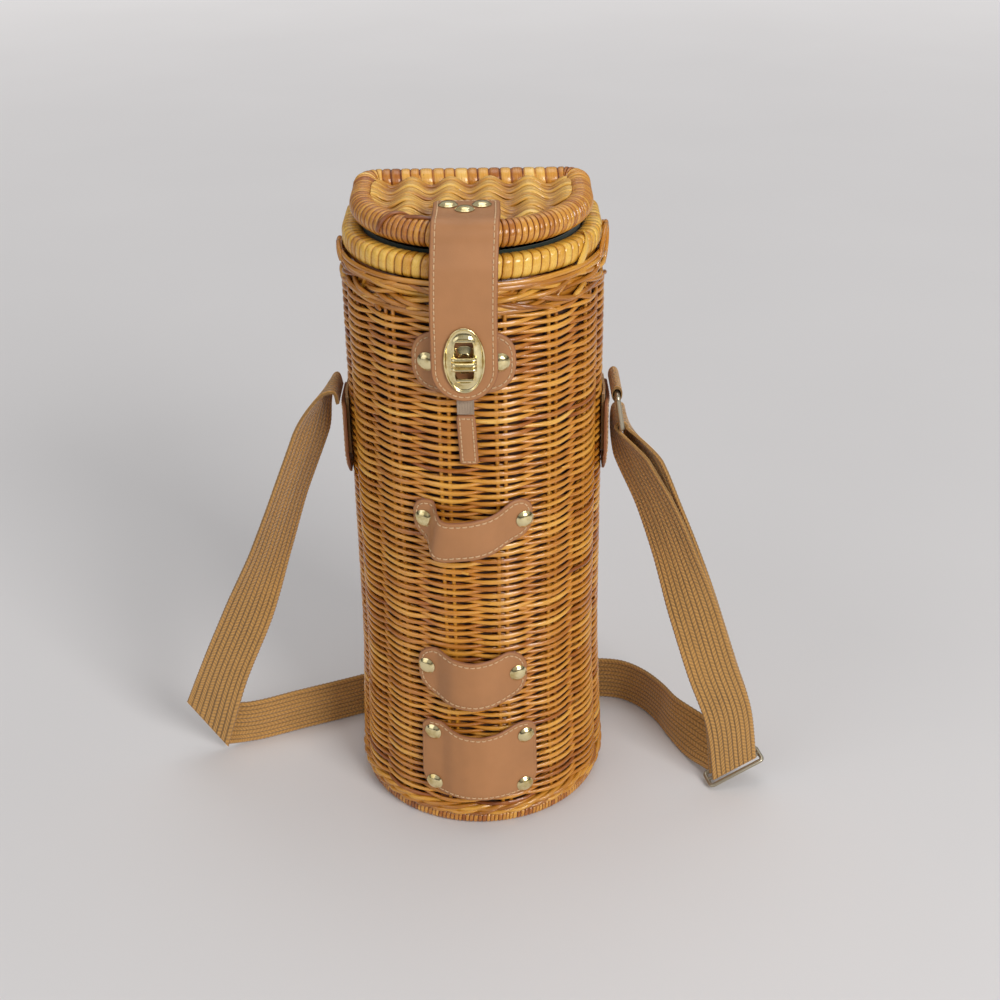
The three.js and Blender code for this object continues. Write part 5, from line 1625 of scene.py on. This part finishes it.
@dataclass
class Lid:
    """The lid: a wrapped roll round a field of flat canes, its lining and its cane hinges."""

    outline: Outline = field(default_factory=lambda: Outline(half=64.7, front=70.7, back=35.8, corner=15.0))
    roll_height: float = 357.8
    hump_pitch: float = 21.1
    first_hump: float = -53.5
    cane_pitch: float = 2.5
    hump: float = 2.15

    def roll(self) -> None:
        """Winds the roll: fine turns in front, wider turns at the sides and flat ones behind."""
        def width(start: float, rng: np.random.Generator) -> float:
            """Gives a turn's width for its place."""
            point = self.outline.at(np.array([start]), 0, 0)[0][0]
            if point[1] > 26:
                return rng.uniform(4.0, 7.2)
            if point[0] < -45 and point[1] < 0:
                return rng.uniform(3.8, 4.8)
            return rng.uniform(2.9, 3.3) if abs(point[0]) > 56 else rng.uniform(3.1, 3.6)

        def tone(start: float, rng: np.random.Generator) -> float:
            """Gives a turn's tone for its place."""
            point = self.outline.at(np.array([start]), 0, 0)[0][0]
            if point[1] > 26:
                return float(rng.choice([0.28, 0.36, 0.5, 0.62, 0.74, 0.84]))
            return rng.uniform(0.32, 0.58)

        rim = WrappedRim(self.outline, off=-7.0, height=self.roll_height, half_width=7.0, half_height=7.0,
                         groove=0.75, lean=0.7, sides=26, back_lift=1.7)
        skin = Skin()
        rim.wind(skin, width, tone, np.random.default_rng(53))
        share = np.linspace(0, 1, 26)
        around = np.radians(150 - 165 * share)
        strand, facing = self.outline.at(-42 - 11 * share, -7 + 7.5 * np.cos(around),
                                         self.roll_height + 7.5 * np.sin(around))
        radial = spread(facing[:, 0] * np.cos(around), facing[:, 1] * np.cos(around), np.sin(around))
        skin.tube(strand, radial, 1.4, 0.8, 0.12, 20, 10)
        ends = np.array([(-32.0, -54.6, 365.0), (-25.0, -57.8, 365.5), (-18.5, -59.6, 365.1)])
        skin.tube(catmull(ends, share), np.array([0.0, -0.4, 1.0]), 1.3, 0.8, 0.12, 21, 10)
        skin.build("lid_roll_wrapping", WRAP, "lid", "cane", ("lid_rim",))

    def _reach(self, y: float, inset: float) -> float:
        """Gives how far the panel reaches to each side at a depth, inside the roll."""
        half, front = self.outline.half - inset, self.outline.front - inset
        if y < 0:
            return half * math.sqrt(max(1 - (y / front) ** 2, 0))
        corner = self.outline.corner - inset * 0.2
        past = max(y - (self.outline.back - inset - corner), 0)
        return half - (corner - math.sqrt(max(corner ** 2 - past ** 2, 0)))

    def panel(self) -> None:
        """Weaves the field: flat canes side to side that hump over the ribs."""
        rng = np.random.default_rng(59)
        skin = Skin()
        rows = int((24.5 + 57.5) / self.cane_pitch)
        shift, tilt = 0.0, 0.0
        for row in range(rows):
            y = -57.0 + self.cane_pitch * row
            if row % 5 == 0:
                shift = rng.uniform(-1.2, 1.2)
                tilt = rng.uniform(0.5, 1.05)
            half = self._reach(y, 11.5)
            if half < 6:
                continue
            x = np.linspace(-half, half, max(int(half * 1.3), 10))
            wave = np.cos(2 * math.pi * (x - self.first_hump - shift) / self.hump_pitch)
            swing = self.hump * (1 + 0.08 * rng.uniform(-1, 1))
            lift = tilt * (0.5 - (row % 5) / 4)
            z = 361.2 + swing * wave + lift + 0.12 * smooth_noise(rng, len(x), 9, False)
            bend = 0.5 * np.sin(2 * math.pi * (x - shift) / self.hump_pitch + row)
            path = spread(x, y + 0.35 * bend, z)
            tone = 0.5 + 0.12 * rng.uniform(-1, 1)
            # The wave term is painted light and shade: paler on the humps, darker in the valleys between
            # them.
            tone = tone + 0.14 * smooth_noise(rng, len(x), 7, False) + 0.13 * wave
            slope = -0.25 if row % 5 == 0 else 0.04
            skin.tube(path, np.array([0.0, slope, 1.0]), 1.36, 0.72, tone, row * 2.1, 12, False, 2.6)
        self._ribs(skin, rng)
        skin.build("lid_field_weave", FIELD, "lid", "cane", ("lid_panel",))

    def _ribs(self, skin: Skin, rng: np.random.Generator) -> None:
        """Lays the ribs under the humps, and a layer of flat canes under the ribs."""
        for k in range(6):
            x = self.first_hump + k * self.hump_pitch
            for side in (-1.6, 1.6):
                y = np.linspace(-self._front(abs(x + side)), 24, 26)
                wave = 0.25 * np.sin(y * 0.9 + k)
                skin.tube(spread(x + side, y, 358.4 + wave), UP, 1.4, 1.3, rng.uniform(0.2, 0.5), 70 + k, 8)
        under = np.linspace(-1, 1, 24)
        for row in range(24):
            y = -54 + 3.3 * row
            half = self._reach(y, 13)
            path = spread(under * half, y, 355.9 + 0.3 * np.cos(under * 9 + row))
            skin.tube(path, UP, 1.6, 0.8, 0.3, 140 + row, 8, False, 3.0)

    def _front(self, x: float) -> float:
        """Gives how far the field reaches to the front at a distance from the middle."""
        half, front = self.outline.half - 12, self.outline.front - 12
        return front * math.sqrt(max(1 - (x / half) ** 2, 0.0))

    def lining(self) -> None:
        """Makes the padded cloth under the lid."""
        inner = Outline(half=44.4, front=50.4, back=15.5, corner=6.0)
        count = 160
        around = np.arange(count) * inner.length() / count
        levels = [(-1.0, 352.9), (0.0, 353.2), (0.0, 353.8), (-0.6, 354.0)]
        rows = [inner.at(around, off, z)[0] for off, z in levels]
        centre = np.array([0.0, -17.0, 0.0])
        for share in (0.7, 0.4, 0.1):
            for rank, z in ((0, 352.9 + 0.35 * share), (len(rows), 354.0)):
                row = centre + (inner.at(around, 0, 0)[0] - centre) * share
                row[:, 2] = z
                rows.insert(rank, row)
        skin = Skin()
        stack = np.stack(rows)
        run = spread(stack[..., 0], stack[..., 1], 0)
        skin.add(stack.reshape(-1, 3), capped_faces(*stack.shape[:2]), 1.0, run.reshape(-1, 3))
        skin.build("lid_lining_cloth", GREEN, "lid", "lining", ("lid_lining",))

    def hinges(self) -> None:
        """Winds the two cane loops that hold the lid to the mouth rim."""
        for label, side in SIDES:
            skin = Skin()
            turn = np.linspace(0, math.pi, 18)
            low = np.array([31.5, 342.05]) + 7.2 * spread(np.cos(math.pi + turn), np.sin(math.pi + turn))
            high = np.array([28.8, 357.8]) + 7.2 * spread(np.cos(turn), np.sin(turn))
            rise = np.linspace(0, 1, 6)[1:-1, None]
            loop = np.concatenate([low, low[-1] + rise * (high[0] - low[-1]), high,
                                   high[-1] + rise * (low[0] - high[-1])])
            outward = unit(loop - np.array([30.1, 350.0]))
            for strand in range(3):
                x = side * 32 + (strand - 1) * 3.0
                path = spread(x, loop[:, 0], loop[:, 1])
                skin.tube(path, spread(0.0, outward[:, 0], outward[:, 1]), 1.46, 0.45,
                          (0.3, 0.75, 0.55)[strand], 30 + strand, 12, True, 3.0)
            loops = skin.build(f"hinge_cane_{label}", WRAP, None, "pale_cane", (f"hinge_loop_{label}",))
            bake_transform(loops)


# The shoulder strap and its anchors

def catmull(points: Array, places: Array) -> Array:
    """Draws a smooth line through points, slowing down where they lie close.

    Args:
        points: The points that the line passes through.
        places: Where to read it, from 0 at the first point to 1 at the last.

    Returns:
        The points of the line.
    """
    last = len(points) - 1
    result = np.empty((len(places), points.shape[1]))
    for row, place in enumerate(places):
        i = min(int(place * last), last - 1)
        t = place * last - i
        b, c = points[i], points[i + 1]
        a = points[i - 1] if i > 0 else 2 * b - c
        d = points[i + 2] if i + 2 <= last else 2 * c - b
        steps = [float(np.sum((q - p) ** 2)) ** 0.25 for p, q in ((a, b), (b, c), (c, d))]
        if steps[1] < 1e-4:
            steps[1] = 1.0
        steps[0] = steps[1] if steps[0] < 1e-4 else steps[0]
        steps[2] = steps[1] if steps[2] < 1e-4 else steps[2]
        first = ((b - a) / steps[0] - (c - a) / (steps[0] + steps[1]) + (c - b) / steps[1]) * steps[1]
        second = ((c - b) / steps[1] - (d - b) / (steps[1] + steps[2]) + (d - c) / steps[2]) * steps[1]
        result[row] = (b + first * t + (-3 * b + 3 * c - 2 * first - second) * t ** 2
                       + (2 * b - 2 * c + first + second) * t ** 3)
    return result


@dataclass
class SideAnchors:
    """The side leathers over the sewn ends of the webbing."""

    shell: Shell
    top: float = 247.0
    bottom: float = 200.0
    half: float = 18.0
    webbing_bottom: float = 216.0
    webbing_top: float = 250.0

    def make(self) -> None:
        """Makes both sides."""
        for label, side in SIDES:
            self._leather(label, side)
            self._webbing(label, side)

    def _leather(self, label: str, side: int) -> None:
        """Cuts and sews one side leather, which tapers to its lower end."""
        def surface(a: Array, b: Array, depth: Array) -> Array:
            """Lays the leather on the wall and over the webbing."""
            lift = np.clip((b - self.bottom) / (self.webbing_bottom - self.bottom), 0, 1)
            return self.shell.on_side(side, side * a, b, CLEARANCE + 1.8 * lift + depth)

        rise = np.linspace(0, 1, 41)
        half = self.half * (0.3 + 0.7 * np.sin(np.minimum(rise / 0.35, 1) * math.pi / 2))
        across = np.linspace(-1, 1, 25)
        lower = spread(across * half[0], self.bottom + 0.0 * across)
        upper = spread(across * half[-1], self.top - corner_draw(across, 2 * half[-1], 3))
        z = lower[0, 1] + (upper[0, 1] - lower[0, 1]) * rise
        panel = Panel(lower, spread(half, z), upper, spread(-half, z), surface)
        panel.make(f"side_leather_panel_{label}", f"side_leather_stitches_{label}", "basket",
                   f"side_leather_{label}")

    def _webbing(self, label: str, side: int) -> None:
        """Lays the sewn end of the webbing under the leather."""
        z = np.linspace(self.webbing_bottom + CLEARANCE, self.webbing_top + CLEARANCE, 40)
        y = np.linspace(-15, 15, 49)
        front = self.shell.on_side(side, y[None], z[:, None], CLEARANCE + 1.4)
        rear = self.shell.on_side(side, y[None], z[:, None], CLEARANCE)
        skin = Skin()
        skin.slab(front, rear, 0.5, z, y + 15)
        skin.build(f"webbing_end_cloth_{label}", KHAKI, "basket", "webbing", (f"webbing_end_{label}",))


@dataclass
class ShoulderStrap:
    """The webbing strap: left run, run on the floor, doubled right run, ring and slider."""

    start: float = 76.7
    reach: float = 174.0
    depth: float = 53.0
    anchor: float = 250.0
    half: float = 15.0
    tube_x: float = 78.8
    ring_bar: Triple = (82.0, 0.0, 229.0)

    LEFT = (
        (0, 0, 0.985, 0, -1, 0), (0.02, -0.005, 1.012, 0, -1, 0), (0.06, -0.01, 1.008, -0.1, -0.99, 0.03),
        (0.12, -0.02, 0.964, -0.35, -0.92, 0.12), (0.183, -0.02, 0.892, -0.61, -0.76, 0.21),
        (0.34, -0.02, 0.736, -0.62, -0.75, 0.22), (0.491, -0.02, 0.576, -0.73, -0.62, 0.27),
        (0.663, -0.02, 0.408, -0.92, -0.2, 0.35), (0.86, -0.02, 0.233, -0.92, 0, 0.4),
        (1, -0.02, 0.082, -0.753, 0, 1.167))
    FLOOR = (
        (-1, 0.026, 1.333, -0.753, 0, 1.167), (-0.86, 0.15, 1, 0, 0, 1), (-0.677, 0.39, 1, 0, 0, 1),
        (-0.482, 0.66, 1, 0, 0, 1), (-0.298, 0.925, 1, 0, 0, 1), (-0.115, 0.985, 1, 0, 0, 1),
        (0.143, 1, 1, 0, 0, 1), (0.402, 1, 1, 0, 0, 1), (0.528, 0.934, 1, 0, 0, 1),
        (0.605, 0.726, 1, 0.02, 0, 1), (0.663, 0.415, 1, 0.06, 0.01, 1), (0.698, 0.132, 1, 0.12, 0.03, 0.99),
        (0.773, -0.217, 0.88, 0.45, 0.1, 0.88))
    HEIGHTS = (0.826, 0.72, 0.6, 0.468, 0.316, 0.196)
    EDGES = ((0.62, -0.75, 0.2), (0.71, -0.66, 0.25), (0.8, -0.5, 0.28), (0.93, -0.15, 0.32),
             (0.93, 0, 0.34), (0.9, 0.1, 0.38))
    INNER = ((0.126, -0.123), (0.27, -0.281), (0.391, -0.406), (0.505, -0.536), (0.63, -0.662),
             (0.74, -0.738))
    OUTER = ((0.2, -0.113), (0.3, -0.226), (0.41, -0.35), (0.51, -0.475), (0.636, -0.6),
             (0.738, -0.68))

    def __post_init__(self) -> None:
        """Works out where the slider lies."""
        self.slider = np.array([self.start + 0.797 * (self.reach - self.start), -0.735 * self.depth,
                                0.5 + 0.667 * self.half])
        self.along = unit(np.array([0.88, 0.19, 0.41]))
        up = np.array([-0.376, -0.19, 0.896])
        self.up = unit(-np.cross(np.cross(up, self.along), self.along))
        self.across = unit(np.cross(self.up, self.along))

    def _run_stations(self, side: int, rows: Array) -> list[tuple[Array, Array]]:
        """Turns shares into centres and edge vectors for a hanging run."""
        stations = []
        for x, y, z, *edge in rows:
            out = self.start + x * (self.reach - self.start)
            stations.append((np.array([side * out, y * self.depth, z * self.anchor]),
                             np.array(edge) * self.half))
        return stations

    def _on_slider(self, across: float, up: float) -> Array:
        """Gives a place on the slider, in its own directions."""
        return self.slider + self.across * across + self.up * up

    def _band(self, name: str, node: str, stations: list[tuple[Array, Array]], steps: int) -> None:
        """Makes one run of webbing, with ribs along it and scalloped edges.

        Args:
            name: The piece's name.
            node: The CAD node that it replaces.
            stations: Centres and edge vectors that it passes through.
            steps: How many rows of points it has.
        """
        places = np.linspace(0, 1, steps * 4)
        centre = catmull(np.array([c for c, _ in stations]), places)
        walked = travel(centre)
        even = np.interp(np.linspace(0, walked[-1], steps), walked, places)
        centre = catmull(np.array([c for c, _ in stations]), even)
        edge = catmull(np.array([e for _, e in stations]), even)
        walked = travel(centre)
        normal = unit(np.cross(np.gradient(centre, axis=0), edge))
        columns = np.linspace(-1, 1, 49)
        rib = np.abs(np.sin(columns * math.pi * 6))
        half = (0.82 + 0.16 * rib) * np.clip((1 - np.abs(columns)) / 0.035, 0.55, 1)
        scallop = 1 + 0.012 * np.sin(walked * 2 * math.pi / 2.6)
        wide = np.where(np.abs(columns) > 0.97, scallop[:, None], 1.0) * columns
        front = centre[:, None] + edge[:, None] * wide[..., None] + normal[:, None] * half[None, :, None]
        rear = centre[:, None] + edge[:, None] * wide[..., None] - normal[:, None] * half[None, :, None]
        # The edges are paler. The front face is painted lighter and the rear face darker: painted light and
        # shade.
        light = np.where(np.abs(columns) > 0.95, 0.85, 0.5)
        tone = np.concatenate([light + 0.1, light[::-1] - 0.18])
        skin = Skin()
        skin.slab(front, rear, np.tile(tone, steps), walked, columns * self.half + self.half)
        skin.build(name, KHAKI, "carry_strap", "webbing", (node,))

    def runs(self) -> None:
        """Makes the three runs of webbing."""
        self._band("strap_left_webbing", "strap_left_run", self._run_stations(-1, self.LEFT), 280)
        floor = []
        for x, y, z, *edge in self.FLOOR:
            floor.append((np.array([x * self.reach, y * self.depth, 0.5 + z * self.half]),
                          np.array(edge) * self.half))
        lying = self.along * self.half
        floor.append((self._on_slider(7.3, 0), lying))
        self._band("strap_floor_webbing", "strap_floor_run", floor, 420)
        legs = [self._run_stations(1, [(*xy, z, *edge) for xy, z, edge in
                                       zip(shares, self.HEIGHTS, self.EDGES)])
                for shares in (self.INNER, self.OUTER)]
        wrap = []
        for i in range(5):
            angle = math.pi * (1 - i / 4)
            off = 3.2 * np.array([math.cos(angle), 0, math.sin(angle)])
            wrap.append((np.array(self.ring_bar) + off, np.array([0.0, -self.half, 0.0])))
        right = [(self._on_slider(-2.85, 1.5), lying), *legs[0][::-1], *wrap, *legs[1],
                 (self._on_slider(2.85, 1.5), lying)]
        self._band("strap_right_webbing", "strap_right_run", right, 520)

    def ring(self) -> None:
        """Bends the wire ring that hangs in the webbing loop."""
        top = np.array([self.tube_x, 0.0, self.anchor])
        bar = np.array(self.ring_bar)
        middle = (top + bar) / 2
        up = unit(top - bar)
        half_y, half_up = 38 / 2 - 1.6 - 3.2, float(np.linalg.norm(top - bar)) / 2 - 3.2
        path, outward = [], []
        for k, (sideways, upwards) in enumerate(((1, 1), (-1, 1), (-1, -1), (1, -1))):
            for i in range(9):
                turn = (math.pi / 2) * (k + i / 8)
                out = np.array([0.0, math.cos(turn), 0.0]) + up * math.sin(turn)
                corner = middle + out * 3.2 + up * upwards * half_up
                path.append(corner + np.array([0.0, sideways * half_y, 0.0]))
                outward.append(out)
        skin = Skin()
        skin.tube(np.array(path), np.array(outward), 1.6, 1.6, 0.5, 0, 14, True)
        skin.build("ring_wire", AGED, "carry_strap", "aged_brass", ("strap_ring",))

    def loop(self) -> None:
        """Makes the webbing loop that the ring hangs in."""
        turn = np.arange(40) * 2 * math.pi / 40
        wide = np.linspace(-15, 15, 49)
        rib = 0.12 * np.abs(np.sin(wide / 15 * math.pi * 6))[:, None]
        outer = spread(self.tube_x + (2.98 + rib) * np.cos(turn), wide[:, None],
                       self.anchor + (4.62 + rib) * np.sin(turn))
        inner = spread(self.tube_x + 2.35 * np.cos(turn) + 0 * rib, wide[:, None],
                       self.anchor + 3.25 * np.sin(turn))
        grid = np.concatenate([outer, inner[::-1]], axis=0)
        girth = turn * 3.9
        across = np.concatenate([wide, wide[::-1]]) + 15
        skin = Skin()
        skin.add(grid.reshape(-1, 3), grid_faces(98, 40, True, True), 0.6,
                 spread(girth[None], across[:, None], 0).reshape(-1, 3))
        skin.build("ring_loop_webbing", KHAKI, "carry_strap", "webbing", ("ring_webbing_loop",))

    def buckle(self) -> None:
        """Bends the slider: a rounded frame with a bar across its middle."""
        skin = Skin()
        corners = []
        for sx, sy, first in ((1, 1, 0), (-1, 1, 1), (-1, -1, 2), (1, -1, 3)):
            for i in range(5):
                turn = (first + i / 4) * math.pi / 2
                corners.append((sx * 15.9 + 1.8 * math.cos(turn), sy * 3.9 + 1.8 * math.sin(turn)))
        path = [self.slider + self.along * a + self.across * b for a, b in corners]
        skin.tube(np.array(path), self.up, 1.3, 1.15, 0.5, 0, 12, True, 2.4)
        ends = np.linspace(-17.2, 17.2, 12)[:, None]
        skin.tube(self.slider + self.along * ends, self.up, 1.25, 1.1, 0.5, 1, 12)
        skin.build("slider_frame", AGED, "carry_strap", "aged_brass", ("strap_slider",))


# The stage

@dataclass
class Stage:
    """The plain floor, the soft lamps, the surroundings and the camera."""

    room_light: float = 0.45
    backdrop: float = 0.66
    tilt: float = 62.54
    roll: float = -0.0135

    def floor(self) -> None:
        """Lays the floor, which reaches past the edges of the view."""
        mesh = bpy.data.meshes.new("floor")
        mesh.from_pydata([(-6, -6, 0), (6, -6, 0), (6, 9, 0), (-6, 9, 0)], [], [(0, 1, 2, 3)])
        mesh.materials.append(PALE.material())
        stand("floor", mesh)

    def _lamp(self, name: str, place: Triple, target: Triple, size: float, power: float) -> None:
        """Hangs one soft square lamp.

        Args:
            name: Its name.
            place: Where it hangs, in metres.
            target: The point that it faces.
            size: The length of its sides.
            power: Its strength in watts.
        """
        light = bpy.data.lights.new(name, "AREA")
        light.shape = "SQUARE"
        light.size = size
        light.energy = power
        lamp = stand(name, light)
        lamp.location = place
        aim = Vector(target) - Vector(place)
        lamp.rotation_euler = aim.to_track_quat("-Z", "Y").to_euler()

    def lamps(self) -> None:
        """Hangs the lamps and sets the surroundings."""
        self._lamp("key", (1.35, -1.85, 1.35), (0, 0, 0.18), 1.0, 42)
        self._lamp("fill", (-1.6, -1.1, 1.0), (0, 0, 0.15), 1.6, 7.5)
        self._lamp("top", (0.1, 0.5, 2.2), (0, 0, 0.1), 1.4, 9.5)
        self._world()

    def _world(self) -> None:
        """Sets the light of the room, with a dark band at eye level for what shines."""
        world = bpy.data.worlds.new("room")
        world.use_nodes = True
        tree = world.node_tree
        back = tree.nodes["Background"]
        back.inputs["Color"].default_value = (0.93, 0.94, 0.96, 1.0)
        path = tree.nodes.new("ShaderNodeLightPath")
        split = tree.nodes.new("ShaderNodeSeparateXYZ")
        tree.links.new(tree.nodes.new("ShaderNodeTexCoord").outputs["Generated"], split.inputs[0])
        band = tree.nodes.new("ShaderNodeValToRGB")
        tree.links.new(split.outputs["Z"], band.inputs["Fac"])
        stops = band.color_ramp.elements
        stops[0].position, stops[0].color = 0.0, (0.06, 0.06, 0.06, 1)
        stops[1].position, stops[1].color = 1.0, (0.4, 0.4, 0.4, 1)
        for position, level in ((0.2, 0.08), (0.34, 0.42), (0.6, self.room_light)):
            stops.new(position).color = (level, level, level, 1)
        choice = tree.nodes.new("ShaderNodeMix")
        choice.inputs["A"].default_value = self.room_light
        tree.links.new(path.outputs["Is Glossy Ray"], choice.inputs["Factor"])
        tree.links.new(band.outputs["Color"], choice.inputs["B"])
        seen = tree.nodes.new("ShaderNodeMix")
        seen.inputs["B"].default_value = self.backdrop
        tree.links.new(path.outputs["Is Camera Ray"], seen.inputs["Factor"])
        tree.links.new(choice.outputs["Result"], seen.inputs["A"])
        tree.links.new(seen.outputs["Result"], back.inputs["Strength"])
        bpy.context.scene.world = world

    def camera(self) -> None:
        """Stands the camera at the photograph's angle."""
        data = bpy.data.cameras.new("camera")
        data.lens = 54.0
        data.sensor_width = 36.0
        data.clip_start = 0.05
        data.clip_end = 50
        eye = stand("camera", data)
        tilt = Matrix.Rotation(math.radians(self.tilt), 4, "X")
        roll = Matrix.Rotation(self.roll, 4, "Z")
        eye.matrix_world = Matrix.Translation((0.013, -0.781, 0.583)) @ tilt @ roll
        bpy.context.scene.camera = eye
        bpy.context.scene.view_settings.view_transform = "Standard"


def main() -> None:
    """Builds the scene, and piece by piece."""
    logging.basicConfig(level=logging.INFO, format="%(name)s: %(message)s")
    stage = Stage()
    stage.camera()
    stage.floor()
    stage.lamps()
    shell = Shell()
    bpy.data.objects["base_board"].data.materials.clear()
    bpy.data.objects["base_board"].data.materials.append(BASE.material())
    weave = Weave(shell)
    weave.weavers()
    weave.stakes()
    rims = Rims(shell)
    rims.foot()
    rims.waling()
    rims.mouth()
    Lining(shell).bag()
    leather = FrontLeather(shell)
    leather.loops()
    leather.lock_leather()
    leather.pull_tab()
    lid = Lid()
    lid.roll()
    lid.panel()
    lid.lining()
    lid.hinges()
    rivets = Rivets(shell)
    for label, x, y in (("left", -11.0, -43.7), ("right", 5.9, -43.7), ("front", -2.6, -51.9)):
        rivets.through_lid(f"closure_rivet_{label}", x, y)
    ClosingStrap().make()
    lock = TurnLock()
    lock.plates()
    lock.button()
    SideAnchors(shell).make()
    strap = ShoulderStrap()
    strap.runs()
    strap.ring()
    strap.loop()
    strap.buckle()


if __name__ == "__main__":
    main()
